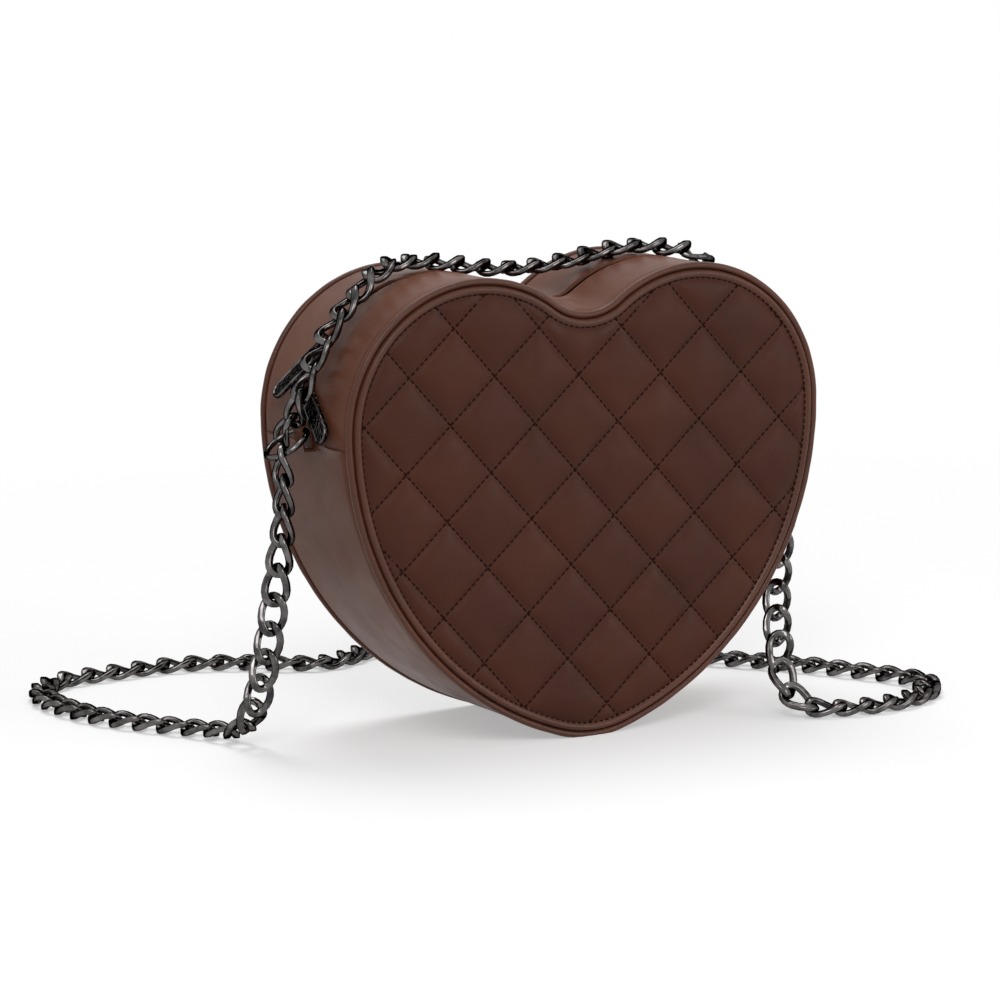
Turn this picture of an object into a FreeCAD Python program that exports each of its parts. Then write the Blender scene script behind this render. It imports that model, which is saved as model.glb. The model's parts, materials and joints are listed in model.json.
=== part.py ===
"""Heart shaped purse: a boxy quilted bag with a zip over its top and a curb chain on two rings.

Millimetres, +Z up, front panel towards -Y. The origin is on the floor, under the middle of the bag.
"""
import FreeCAD, Part
import math
import os

from FreeCAD import Placement, Rotation, Vector
from Sketcher import Constraint

os.makedirs("parts", exist_ok=True)
doc = FreeCAD.newDocument("heart_purse")

# Driving dimensions
SIZES = {
    # The heart's outline: round lobes, long side arcs, a round tip and a round notch
    "lobe_radius": 54.5,
    "lobe_offset": 45.5,
    "side_radius": 124.5,
    "tip_radius": 46.5,
    "notch_radius": 21.0,
    "base_flat": 0.8,
    # Depth between the two pipings, and how far the side seams lie below the middle of the lobes
    "body_depth": 70.0,
    "seam_drop": 6.0,
    # Sheet materials
    "leather": 1.2,
    "foam": 4.0,
    "board": 1.5,
    "lining": 0.8,
    # Quilting: how far the pillows rise from the skin, the plain margin round them, the grooves between
    # them, half the diagonals of a diamond, a crossing of two sewn lines, and the lattice's turn
    "quilt_rise": 1.4,
    "quilt_margin": 2.6,
    "groove_width": 8.0,
    "groove_depth": 1.3,
    "quilt_half_width": 17.6,
    "quilt_half_height": 17.6,
    "quilt_across": 14.2,
    "quilt_height": 152.7,
    "quilt_turn": 3.4,
    # Edges and gaps
    "piping_diameter": 2.6,
    "panel_rise": 1.6,
    "gusset_recess": 0.7,
    "seat_gap": 0.1,
    "clearance": 0.3,
    "overrun": 5.0,
    # Zip
    "zip_gap": 6.0,
    "hem_start": 5.0,
    "tape_reach": 13.0,
    "tape": 0.6,
    "tooth_length": 2.4,
    "tooth_height": 1.4,
    "tooth_width": 1.2,
    "tooth_pitch": 2.4,
    "teeth_gap": 1.0,
    "stop_length": 2.0,
    "stop_turn": 178.5,
    # Sliders and pulls
    "slider_length": 8.0,
    "slider_width": 8.4,
    "slider_plate": 0.8,
    "neck_width": 0.6,
    "neck_length": 3.0,
    "bail_width": 1.2,
    "bail_wall": 0.8,
    "bail_window": 2.0,
    "bail_opening": 5.0,
    "bail_leg": 1.0,
    "pull_length": 28.0,
    "pull_width": 8.0,
    "pull_thickness": 1.2,
    "pull_eye_length": 5.0,
    "pull_eye_width": 5.8,
    "pull_shift": 0.6,
    "slider_a_turn": 146.0,
    "slider_b_turn": 165.0,
    "pull_a_lean": 33.0,
    "pull_b_lean": -55.0,
    # Rings and their tabs
    "ring_diameter": 19.0,
    "ring_wire": 2.2,
    "ring_droop": 32.0,
    "tab_leather": 0.8,
    "tab_width": 6.0,
    "tab_bore": 1.8,
    "tab_rise": 5.1,
    "tab_forward": 4.7,
    # Curb chain
    "link_pitch": 11.2,
    "link_width": 10.8,
    "link_wire": 2.2,
    "link_twist": 44.0,
    "link_play": 0.5,
    "handle_hook_turn": -82.0,
    "strap_hook_turn": -46.0,
}

# Which way the flat side of a chain faces along its route
FACINGS = {
    "left": Vector(-1, 0, 0),
    "up_left": Vector(-1, 0, 1),
    "up": Vector(0, 0, 1),
    "up_right": Vector(1, 0, 1),
    "right": Vector(1, 0, 0),
    "left_front": Vector(-2, -1, 0),
    "front_left": Vector(-1, -2, 0),
    "front_down": Vector(0, -1, -1),
    "down": Vector(0, 0, -1),
    "rear_down": Vector(0, 1, -1),
    "rear": Vector(0, 1, 0),
    "rear_right": Vector(1, 2, 0),
}
# Route of the short chain over the top, from the left ring to the right one
HANDLE_ROUTE = (
    (-108.6, -8.0, 122.5, "left"),
    (-104.6, -8.5, 131.5, "left"),
    (-101.4, -11.5, 142.0, "up_left"),
    (-96.4, -12.0, 152.2, "up_left"),
    (-90.2, -11.0, 161.2, "up_left"),
    (-82.4, -7.5, 167.9, "up_left"),
    (-73.8, -4.0, 173.0, "up_left"),
    (-64.2, 1.0, 176.6, "up"),
    (-52.4, 5.5, 179.2, "up"),
    (-40.5, 8.0, 177.4, "up"),
    (-29.3, 8.0, 175.6, "up"),
    (-19.2, 8.0, 173.6, "up"),
    (-8.2, 8.0, 172.2, "up"),
    (2.9, 8.0, 171.7, "up"),
    (14.1, 8.0, 172.2, "up"),
    (24.5, 8.0, 173.8, "up"),
    (35.0, 8.0, 176.4, "up"),
    (45.5, 8.0, 177.2, "up"),
    (56.5, 8.0, 176.8, "up"),
    (66.8, 8.0, 174.0, "up"),
    (76.5, 7.5, 169.6, "up_right"),
    (86.5, 6.0, 162.4, "up_right"),
    (95.0, 3.5, 153.0, "up_right"),
    (101.5, -3.0, 142.5, "right"),
    (106.8, -8.5, 132.0, "right"),
    (111.5, -10.5, 122.5, "right"),
)
# Route of the long chain down to the floor, round behind the bag and up again
STRAP_ROUTE = (
    (-112.6, -9.8, 103.0, "left"),
    (-112.5, -8.8, 91.0, "left"),
    (-112.5, -6.5, 79.0, "left_front"),
    (-112.9, -3.0, 67.0, "left_front"),
    (-113.1, 1.0, 55.0, "front_left"),
    (-113.0, 5.5, 43.0, "front_left"),
    (-112.6, 11.0, 31.0, "front_left"),
    (-112.3, 17.5, 18.5, "front_left"),
    (-113.0, 27.0, 7.6, "front_down"),
    (-118.0, 37.0, 3.5, "down"),
    (-125.5, 45.5, 3.1, "down"),
    (-132.5, 53.5, 3.1, "down"),
    (-140.5, 67.0, 3.1, "down"),
    (-147.0, 80.0, 3.1, "down"),
    (-153.0, 94.5, 3.1, "down"),
    (-156.5, 110.5, 3.1, "down"),
    (-156.0, 127.5, 3.1, "down"),
    (-148.5, 144.5, 3.1, "down"),
    (-135.0, 155.0, 3.1, "down"),
    (-119.0, 156.5, 3.1, "down"),
    (-102.5, 157.5, 3.1, "down"),
    (-86.0, 158.5, 3.1, "down"),
    (-71.0, 154.5, 3.1, "down"),
    (-57.0, 146.5, 3.1, "down"),
    (-43.5, 134.5, 3.1, "down"),
    (-30.0, 126.5, 3.1, "down"),
    (-16.0, 133.0, 3.1, "down"),
    (-2.0, 143.5, 3.1, "down"),
    (16.0, 146.5, 3.1, "down"),
    (33.0, 137.5, 3.1, "down"),
    (49.0, 121.5, 3.1, "down"),
    (64.0, 103.5, 3.1, "down"),
    (79.0, 84.5, 3.1, "down"),
    (94.0, 65.5, 3.1, "down"),
    (107.5, 49.0, 3.1, "down"),
    (119.0, 34.0, 3.1, "down"),
    (129.0, 20.0, 3.1, "down"),
    (136.5, 5.0, 3.1, "down"),
    (143.5, -8.5, 3.1, "down"),
    (150.5, -22.0, 3.1, "down"),
    (151.0, -37.5, 3.1, "down"),
    (140.5, -51.0, 3.1, "down"),
    (124.5, -59.0, 3.1, "down"),
    (108.0, -60.5, 3.1, "down"),
    (92.5, -57.0, 3.1, "down"),
    (82.2, -52.5, 4.6, "rear_down"),
    (78.3, -47.5, 12.0, "rear_down"),
    (80.5, -41.0, 22.5, "rear"),
    (84.3, -33.5, 32.5, "rear_right"),
    (88.5, -25.5, 44.0, "rear_right"),
    (93.5, -18.5, 57.0, "rear_right"),
    (99.0, -13.5, 70.5, "rear_right"),
    (104.5, -10.5, 84.5, "rear_right"),
    (109.0, -9.5, 98.5, "rear_right"),
)

sheet = doc.addObject("Spreadsheet::Sheet", "dims")
for row, (alias, value) in enumerate(SIZES.items(), start=1):
    sheet.set(f"A{row}", alias)
    sheet.set(f"B{row}", str(value))
    sheet.setAlias(f"B{row}", alias)
doc.recompute()


def dim(alias):
    """The value of one cell."""
    return float(sheet.get(alias))


def worked_out(terms):
    """The value of an expression over the cells."""
    return float(sheet.evalExpression(terms))


# Places that follow from the driving dimensions, as expressions over the cells
TIP_HEIGHT = "(dims.tip_radius - dims.base_flat)"
SIDE_REACH = "(dims.side_radius - dims.lobe_radius - dims.lobe_offset)"
SIDE_RISE = f"sqrt((dims.side_radius - dims.tip_radius) ^ 2 - {SIDE_REACH} ^ 2)"
LOBE_HEIGHT = f"({TIP_HEIGHT} + {SIDE_RISE})"
SEAM_HEIGHT = f"({LOBE_HEIGHT} - dims.seam_drop)"
HALF_WIDTH = "(dims.lobe_offset + dims.lobe_radius)"
HALF_DEPTH = "(dims.body_depth / 2)"
GUSSET_HALF = f"({HALF_DEPTH} - dims.piping_diameter / 2 - dims.seat_gap)"
PANEL_INSET = "(dims.piping_diameter + dims.seat_gap)"
STRIP_UNDERSIDE = "(dims.gusset_recess + dims.leather)"
BOARD_UNDERSIDE = f"({STRIP_UNDERSIDE} + dims.board)"
INNER_INSET = f"({BOARD_UNDERSIDE} + dims.lining + dims.seat_gap)"
TOP_PLATE_INSET = f"({STRIP_UNDERSIDE} + dims.clearance)"
TAPE_INSET = f"({TOP_PLATE_INSET} + dims.slider_plate + dims.clearance)"
TAPE_START = "(dims.teeth_gap / 2 + dims.tooth_length)"
LOWER_PLATE_INSET = f"({TAPE_INSET} + dims.tooth_height + dims.clearance)"
PULL_BAR_RADIUS = "(dims.lobe_radius - dims.gusset_recess + dims.clearance + dims.pull_thickness / 2)"
TAB_RADIUS = "(dims.tab_bore + dims.tab_leather)"
TAB_TAIL = "(2 * dims.tab_leather)"
TAB_REACH = f"({HALF_WIDTH} - dims.gusset_recess + {TAB_RADIUS} + dims.seat_gap)"
TAB_HEIGHT = f"({SEAM_HEIGHT} - {TAB_TAIL} + {TAB_RADIUS} + dims.tab_rise)"
TAB_FRONT = "(-dims.tab_forward - dims.tab_width / 2)"
TAB_BACK = "(dims.tab_width / 2 - dims.tab_forward)"
TAIL_LOW = f"({SEAM_HEIGHT} - {TAB_TAIL} - dims.seat_gap)"

lobe_height = worked_out(LOBE_HEIGHT)
notch_rise = math.sqrt((dim("lobe_radius") + dim("notch_radius")) ** 2 - dim("lobe_offset") ** 2)
notch_height = lobe_height + notch_rise
# Turn of the line from the notch's centre to the right lobe's centre
notch_turn = math.atan2(-notch_rise, dim("lobe_offset"))
left_lobe = Vector(-dim("lobe_offset"), 0, lobe_height)
across = Vector(0, 1, 0)
nodes = []


def node(label, feature):
    """Give a finished sub-part its name and put it on the list to be written."""
    feature.Label = label
    nodes.append(feature)
    return feature


# Shared building steps
def bind(sketch, constraint, terms):
    """Add a dimension to a sketch and tie it to the cells."""
    sketch.setExpression(f"Constraints[{sketch.addConstraint(constraint)}]", terms)


def heart_loop(sketch, inset):
    """Add one closed heart of seven tangent arcs to a sketch, set in from the outline by inset."""
    by = worked_out(inset)
    offset = dim("lobe_offset")
    lobe = dim("lobe_radius") - by
    side = dim("side_radius") - by
    tip = dim("tip_radius") - by
    notch = dim("notch_radius") + by
    reach = worked_out(SIDE_REACH)
    tip_height = worked_out(TIP_HEIGHT)
    tip_turn = math.atan2(tip_height - lobe_height, reach)
    down = -math.pi / 2
    arcs = (
        (0, tip_height, tip, -math.pi - tip_turn, tip_turn),
        (-reach, lobe_height, side, tip_turn, 0),
        (offset, lobe_height, lobe, 0, math.pi + notch_turn),
        (0, notch_height, notch, down, notch_turn),
        (0, notch_height, notch, -math.pi - notch_turn, down),
        (-offset, lobe_height, lobe, -notch_turn, math.pi),
        (reach, lobe_height, side, math.pi, math.pi - tip_turn),
    )
    tip_arc, side_right, lobe_right, notch_right, notch_left, lobe_left, side_left = (
        sketch.addGeometry(
            Part.ArcOfCircle(Part.Circle(Vector(x, z, 0), Vector(0, 0, 1), radius), low, high)
        )
        for x, z, radius, low, high in arcs
    )
    start, end, centre = 1, 2, 3
    origin, upright = -1, -2
    joints = (
        (tip_arc, end, side_right, start),
        (side_right, end, lobe_right, start),
        (lobe_right, end, notch_right, end),
        (notch_right, start, notch_left, end),
        (notch_left, start, lobe_left, start),
        (lobe_left, end, side_left, start),
        (side_left, end, tip_arc, start),
    )
    for joint in joints:
        sketch.addConstraint(Constraint("Tangent", *joint))
    sketch.addConstraint(Constraint("PointOnObject", tip_arc, centre, upright))
    sketch.addConstraint(Constraint("PointOnObject", notch_right, start, upright))
    sketch.addConstraint(Constraint("Equal", notch_right, notch_left))
    sketch.addConstraint(Constraint("Symmetric", lobe_left, centre, lobe_right, centre, upright))
    sketch.addConstraint(Constraint("Equal", lobe_left, lobe_right))
    sketch.addConstraint(Constraint("Equal", side_left, side_right))
    sketch.addConstraint(Constraint("Horizontal", side_right, centre, lobe_right, centre))
    bind(sketch, Constraint("DistanceX", origin, 1, lobe_right, centre, offset), "dims.lobe_offset")
    bind(sketch, Constraint("DistanceY", origin, 1, tip_arc, centre, tip_height), TIP_HEIGHT)
    bind(sketch, Constraint("Radius", lobe_right, lobe), f"dims.lobe_radius - ({inset})")
    bind(sketch, Constraint("Radius", side_right, side), f"dims.side_radius - ({inset})")
    bind(sketch, Constraint("Radius", tip_arc, tip), f"dims.tip_radius - ({inset})")
    bind(sketch, Constraint("Radius", notch_right, notch), f"dims.notch_radius + {inset}")


def rectangle(sketch, width, low, high):
    """Add a rectangle to a sketch, even about the upright axis, from low to high above the origin."""
    half, bottom, top = worked_out(width) / 2, worked_out(low), worked_out(high)
    outline = ((-half, bottom), (half, bottom), (half, top), (-half, top))
    corners = [Vector(x, y, 0) for x, y in outline]
    lines = [
        sketch.addGeometry(Part.LineSegment(a, b))
        for a, b in zip(corners, corners[1:] + corners[:1])
    ]
    for line, following in zip(lines, lines[1:] + lines[:1]):
        sketch.addConstraint(Constraint("Coincident", line, 2, following, 1))
    base, right, lid, left = lines
    sketch.addConstraint(Constraint("Symmetric", base, 1, base, 2, -2))
    sketch.addConstraint(Constraint("Vertical", right))
    sketch.addConstraint(Constraint("Vertical", left))
    sketch.addConstraint(Constraint("Horizontal", lid))
    bind(sketch, Constraint("DistanceX", base, 1, base, 2, 2 * half), width)
    bind(sketch, Constraint("DistanceY", -1, 1, base, 1, bottom), low)
    bind(sketch, Constraint("DistanceY", -1, 1, lid, 1, top), high)


def sketch_on(body, name, role, level="0"):
    """A sketch on one of a body's origin planes, level away along the plane's normal."""
    sketch = body.newObject("Sketcher::SketchObject", name)
    plane = next(f for f in body.Origin.OriginFeatures if f.Role == role)
    sketch.AttachmentSupport = (plane, [""])
    sketch.MapMode = "FlatFace"
    sketch.setExpression("AttachmentOffset.Base.z", level)
    return sketch


def heart_pad(body, name, inset, near, thickness, side):
    """Pad a heart-shaped layer on a body, near from the middle plane, to the front (side -1) or rear."""
    sketch = sketch_on(body, f"{name}_outline", "XZ_Plane", f"{-side} * ({near})")
    heart_loop(sketch, inset)
    pad = body.newObject("PartDesign::Pad", f"{name}_pad")
    pad.Profile = sketch
    pad.Reversed = side > 0
    pad.setExpression("Length", thickness)


def heart_plate(label, inset, near, thickness, side):
    """One heart-shaped layer of the front (side -1) or rear (side 1), near from the middle plane."""
    body = node(label, doc.addObject("PartDesign::Body", label))
    heart_pad(body, label, inset, near, thickness, side)


def heart_sketch(name, level):
    """An empty upright sketch of the document, at y = level."""
    sketch = doc.addObject("Sketcher::SketchObject", name)
    sketch.Placement = Placement(Vector(), Rotation(Vector(1, 0, 0), 90))
    sketch.setExpression("Placement.Base.y", level)
    return sketch


def heart_band(name, inset, wall, low, high):
    """A hollow heart between two insets, from y = low to y = high."""
    sketch = heart_sketch(f"{name}_outline", high)
    heart_loop(sketch, inset)
    heart_loop(sketch, f"{inset} + {wall}")
    band = doc.addObject("Part::Extrusion", name)
    band.Base = sketch
    band.DirMode = "Custom"
    band.Dir = -across
    band.Solid = True
    band.setExpression("LengthFwd", f"{high} - ({low})")
    return band


def block(name, low, high):
    """A box between two corners, each three expressions."""
    box = doc.addObject("Part::Box", name)
    for axis, edge, near, far in zip("xyz", ("Length", "Width", "Height"), low, high):
        box.setExpression(f"Placement.Base.{axis}", near)
        box.setExpression(edge, f"{far} - ({near})")
    return box


def drum(name, radius, x, z):
    """A cylinder across the bag, as long as a tab is wide, around the line through (x, z)."""
    cylinder = doc.addObject("Part::Cylinder", name)
    cylinder.Placement = Placement(Vector(), Rotation(Vector(1, 0, 0), 90))
    cylinder.setExpression("Radius", radius)
    cylinder.setExpression("Height", "dims.tab_width")
    cylinder.setExpression("Placement.Base.x", x)
    cylinder.setExpression("Placement.Base.y", TAB_BACK)
    cylinder.setExpression("Placement.Base.z", z)
    return cylinder


def cut(name, base, tool):
    """base without tool."""
    result = doc.addObject("Part::Cut", name)
    result.Base = base
    result.Tool = tool
    return result


def fuse(name, base, tool):
    """Two shapes as one solid."""
    result = doc.addObject("Part::Fuse", name)
    result.Base = base
    result.Tool = tool
    result.Refine = True
    return result


def feature(name, shape):
    """A shape that is worked out piece by piece."""
    result = doc.addObject("Part::Feature", name)
    result.Shape = shape
    return result


# Spaces that trim the bands at the seams and at the floor
WIDE = f"({HALF_WIDTH} + dims.overrun)"
DEEP = f"({HALF_DEPTH} + dims.panel_rise + dims.quilt_rise + dims.overrun)"
TALL = f"({LOBE_HEIGHT} + dims.lobe_radius + dims.overrun)"
above_seams = block("above_seams", (f"-{WIDE}", f"-{DEEP}", SEAM_HEIGHT), (WIDE, DEEP, TALL))
below_seams = block("below_seams", (f"-{WIDE}", f"-{DEEP}", "-dims.overrun"), (WIDE, DEEP, SEAM_HEIGHT))
floor = block("floor", (f"-{WIDE}", f"-{DEEP}", "-dims.overrun"), (WIDE, DEEP, "0"))


# Sewn lines of the quilting, counted from the named crossing along each of the lattice's two ways
FALLING_LINES = range(-3, 7)
RISING_LINES = range(-6, 4)


def quilt_grooves(word, side):
    """The hollows along the sewn lines of the front (side -1) or rear (side 1), as one tool."""
    turned = Rotation(Vector(0, 1, 0), dim("quilt_turn"))
    falling = turned.multVec(Vector(dim("quilt_half_width"), 0, -dim("quilt_half_height")))
    rising = turned.multVec(Vector(dim("quilt_half_width"), 0, dim("quilt_half_height")))
    level = side * worked_out(f"{HALF_DEPTH} + dims.panel_rise + dims.quilt_rise")
    crossing = Vector(dim("quilt_across"), level, dim("quilt_height"))
    inward = Vector(0, -side, 0)
    grooves = []
    for way, step, lines in ((rising, falling, FALLING_LINES), (falling, rising, RISING_LINES)):
        for number in lines:
            groove = doc.addObject("Part::Wedge", f"{word}_groove_{len(grooves)}")
            # The section is an even triangle that reaches as far out of the skin as into it
            for name, value in (
                ("Xmin", "-dims.groove_width"),
                ("Xmax", "dims.groove_width"),
                ("Ymin", "-dims.groove_depth"),
                ("Ymax", "dims.groove_depth"),
                ("X2min", "0"),
                ("X2max", "0"),
                ("Zmin", f"-{TALL}"),
                ("Zmax", TALL),
                ("Z2min", f"-{TALL}"),
                ("Z2max", TALL),
            ):
                groove.setExpression(name, value)
            start = crossing + step * number
            along = Vector(way)
            if side > 0:
                start.x, along.x = -start.x, -along.x
            along.normalize()
            groove.Placement = Placement(start, Rotation(inward.cross(along), inward, along, "YZX"))
            grooves.append(groove)
    tool = doc.addObject("Part::MultiFuse", f"{word}_grooves")
    tool.Shapes = grooves
    return tool


# Front and rear: leather skin, foam, stiffening board and lining, with a piping round each edge
def face(word, side):
    """The four layers of the front or rear face, and its piping."""
    skin_back = f"{HALF_DEPTH} + dims.panel_rise - dims.leather"
    foam_back = f"{skin_back} - dims.foam"
    board_back = f"{foam_back} - dims.board"
    lining_back = f"{board_back} - dims.lining"
    skin = doc.addObject("PartDesign::Body", f"{word}_skin")
    heart_pad(skin, f"{word}_skin", PANEL_INSET, skin_back, "dims.leather", side)
    pillow_inset = f"{PANEL_INSET} + dims.quilt_margin"
    heart_pad(skin, f"{word}_pillows", pillow_inset, f"{skin_back} + dims.leather", "dims.quilt_rise", side)
    node(f"{word}_panel", cut(f"{word}_panel", skin, quilt_grooves(word, side)))
    heart_plate(f"{word}_padding", INNER_INSET, foam_back, "dims.foam", side)
    heart_plate(f"{word}_board", INNER_INSET, board_back, "dims.board", side)
    heart_plate(f"{word}_lining", INNER_INSET, lining_back, "dims.lining", side)
    level = f"{side} * {HALF_DEPTH}"
    spine = heart_sketch(f"{word}_piping_line", level)
    heart_loop(spine, "dims.piping_diameter / 2")
    doc.recompute()
    first = spine.Shape.Wires[0].OrderedEdges[0]
    profile = doc.addObject("Part::Circle", f"{word}_piping_section")
    profile.setExpression("Radius", "dims.piping_diameter / 2")
    begin = first.firstVertex(True).Point
    along = first.tangentAt(first.getParameterByLength(0))
    profile.Placement = Placement(begin, Rotation(Vector(0, 0, 1), along))
    sweep = doc.addObject("Part::Sweep", f"{word}_piping_cord")
    sweep.Sections = [profile]
    sweep.Spine = (spine, [f"Edge{i}" for i in range(1, len(spine.Shape.Edges) + 1)])
    sweep.Solid = True
    node(f"{word}_piping", cut(f"{word}_piping", sweep, floor))


face("front", -1)
face("rear", 1)


# Lower gusset, round the bottom from seam to seam, with its board and lining
def lower_band(label, inset, wall):
    """One layer of the gusset below the seams."""
    band = heart_band(f"{label}_band", inset, wall, f"-{GUSSET_HALF}", GUSSET_HALF)
    return cut(f"{label}_below", band, above_seams)


lower_gusset = lower_band("lower_gusset", "dims.gusset_recess", "dims.leather")
lower_gusset = cut("lower_gusset_flat", lower_gusset, floor)
for word, side in (("left", -1), ("right", 1)):
    near, far = sorted((f"{side} * ({HALF_WIDTH} - {INNER_INSET})", f"{side} * {WIDE}"), key=worked_out)
    slot = block(
        f"{word}_tab_slot",
        (near, f"{TAB_FRONT} - dims.seat_gap", f"{TAIL_LOW} - dims.seat_gap"),
        (far, f"{TAB_BACK} + dims.seat_gap", f"{SEAM_HEIGHT} + dims.seat_gap"),
    )
    lower_gusset = cut(f"lower_gusset_{word}", lower_gusset, slot)
node("lower_gusset", lower_gusset)
node("lower_gusset_board", lower_band("lower_gusset_board", STRIP_UNDERSIDE, "dims.board"))
node("lower_gusset_lining", lower_band("lower_gusset_lining", BOARD_UNDERSIDE, "dims.lining"))


# Zip gusset, over the top from seam to seam: a strip with a hem, a lining and a zip tape on each side
def zip_side(word, side):
    """The strip, lining and tape on one side of the zip."""

    def band(name, inset, wall, near, far):
        """A band above the seams, from near to far of the zip's middle."""
        low, high = sorted((f"{side} * ({near})", f"{side} * ({far})"), key=worked_out)
        return cut(name, heart_band(f"{name}_band", inset, wall, low, high), below_seams)

    strip = band(f"zip_strip_{word}", "dims.gusset_recess", "dims.leather", "dims.zip_gap / 2", GUSSET_HALF)
    hem_wall = f"{TAPE_INSET} - {STRIP_UNDERSIDE}"
    hem = band(f"zip_hem_{word}", STRIP_UNDERSIDE, hem_wall, "dims.hem_start", "dims.tape_reach")
    node(f"zip_gusset_{word}", fuse(f"zip_gusset_{word}", strip, hem))
    lining_start = "dims.tape_reach + dims.seat_gap"
    node(
        f"zip_gusset_lining_{word}",
        band(f"zip_lining_{word}", STRIP_UNDERSIDE, "dims.lining", lining_start, GUSSET_HALF),
    )
    tape = band(f"zip_tape_{word}", TAPE_INSET, "dims.tape", TAPE_START, "dims.tape_reach")
    node(f"zip_tape_{word}", tape)


zip_side("front", -1)
zip_side("rear", 1)


# Zip teeth, one row on each tape, and a stop at each end
def zip_place(run, inset):
    """The place at a run along the zip from the notch's middle: X along the zip, Z outward."""
    notch = dim("notch_radius") + inset
    lobe = dim("lobe_radius") - inset
    notch_half = notch * (math.pi / 2 + notch_turn)
    way = math.copysign(1, run)
    if abs(run) <= notch_half:
        lean = -abs(run) / notch
        at = Vector(-notch * math.sin(lean), 0, notch_height - notch * math.cos(lean))
    else:
        turn = math.pi + notch_turn - (abs(run) - notch_half) / lobe
        lean = math.pi / 2 - turn
        at = Vector(dim("lobe_offset") + lobe * math.cos(turn), 0, lobe_height + lobe * math.sin(turn))
    return Placement(Vector(way * at.x, 0, at.z), Rotation(across, math.degrees(way * lean)))


tooth_inset = worked_out(TAPE_INSET) + dim("tooth_height") / 2
stop_turn = math.pi - math.radians(dim("stop_turn"))
notch_run = (dim("notch_radius") + tooth_inset) * (math.pi / 2 + notch_turn)
lobe_run = (dim("lobe_radius") - tooth_inset) * (math.pi + notch_turn - stop_turn)
zip_half = notch_run + lobe_run


def zip_block(length, near, far, run):
    """A block on the zip, length along it and from y = near to y = far."""
    size = Vector(length, far - near, dim("tooth_height"))
    corner = Vector(-length / 2, near, -dim("tooth_height") / 2)
    box = Part.makeBox(size.x, size.y, size.z, corner)
    box.Placement = zip_place(run, tooth_inset)
    return box


teeth_each_way = int((zip_half - dim("stop_length")) / dim("tooth_pitch"))
tooth_near = dim("teeth_gap") / 2
tooth_far = tooth_near + dim("tooth_length")
for word, near, far in (("front", -tooth_far, -tooth_near), ("rear", tooth_near, tooth_far)):
    row = [
        zip_block(dim("tooth_width"), near, far, count * dim("tooth_pitch"))
        for count in range(-teeth_each_way, teeth_each_way + 1)
    ]
    node(f"zip_teeth_{word}", feature(f"zip_teeth_{word}", Part.makeCompound(row)))
stops = [zip_block(dim("stop_length"), -tooth_far, tooth_far, way * zip_half) for way in (-1, 1)]
node("zip_stops", feature("zip_stops", Part.makeCompound(stops)))


# Zip sliders: two plates on a neck, and a bail that reaches out through the gap between the strips
def ring_sector(body, name, width, low, high, length, kind="PartDesign::Revolution"):
    """A block of the slider, bent round the lobe's axis, or a window in it."""
    sketch = sketch_on(body, f"{name}_section", "YZ_Plane")
    rectangle(sketch, width, low, high)
    sector = body.newObject(kind, name)
    sector.Profile = sketch
    sector.ReferenceAxis = (sketch, ["H_Axis"])
    sector.Midplane = True
    sector.setExpression("Angle", f"180 / pi * ({length}) / dims.lobe_radius")


def slider(label, turn):
    """One slider, turned about the left lobe's middle from the way right to its place."""
    body = node(label, doc.addObject("PartDesign::Body", label))
    top = f"dims.lobe_radius - {TOP_PLATE_INSET}"
    top_under = f"{top} - dims.slider_plate"
    bottom = f"dims.lobe_radius - {LOWER_PLATE_INSET}"
    bottom_under = f"{bottom} - dims.slider_plate"
    window_low = f"{PULL_BAR_RADIUS} - dims.bail_window / 2"
    window_high = f"{PULL_BAR_RADIUS} + dims.bail_window / 2"
    ring_sector(body, f"{label}_neck", "dims.neck_width", bottom_under, top, "dims.neck_length")
    ring_sector(body, f"{label}_top", "dims.slider_width", top_under, top, "dims.slider_length")
    ring_sector(body, f"{label}_lower", "dims.slider_width", bottom_under, bottom, "dims.slider_length")
    ring_sector(
        body,
        f"{label}_bail",
        "dims.bail_width",
        top_under,
        f"{window_high} + dims.bail_wall",
        "dims.bail_opening + 2 * dims.bail_leg",
    )
    ring_sector(
        body,
        f"{label}_window",
        "dims.bail_width + dims.overrun",
        window_low,
        window_high,
        "dims.bail_opening",
        "PartDesign::Groove",
    )
    quarter = 90
    body.Placement = Placement(left_lobe, Rotation(across, quarter - dim(turn)))


slider("slider_a", "slider_a_turn")
slider("slider_b", "slider_b_turn")


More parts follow.
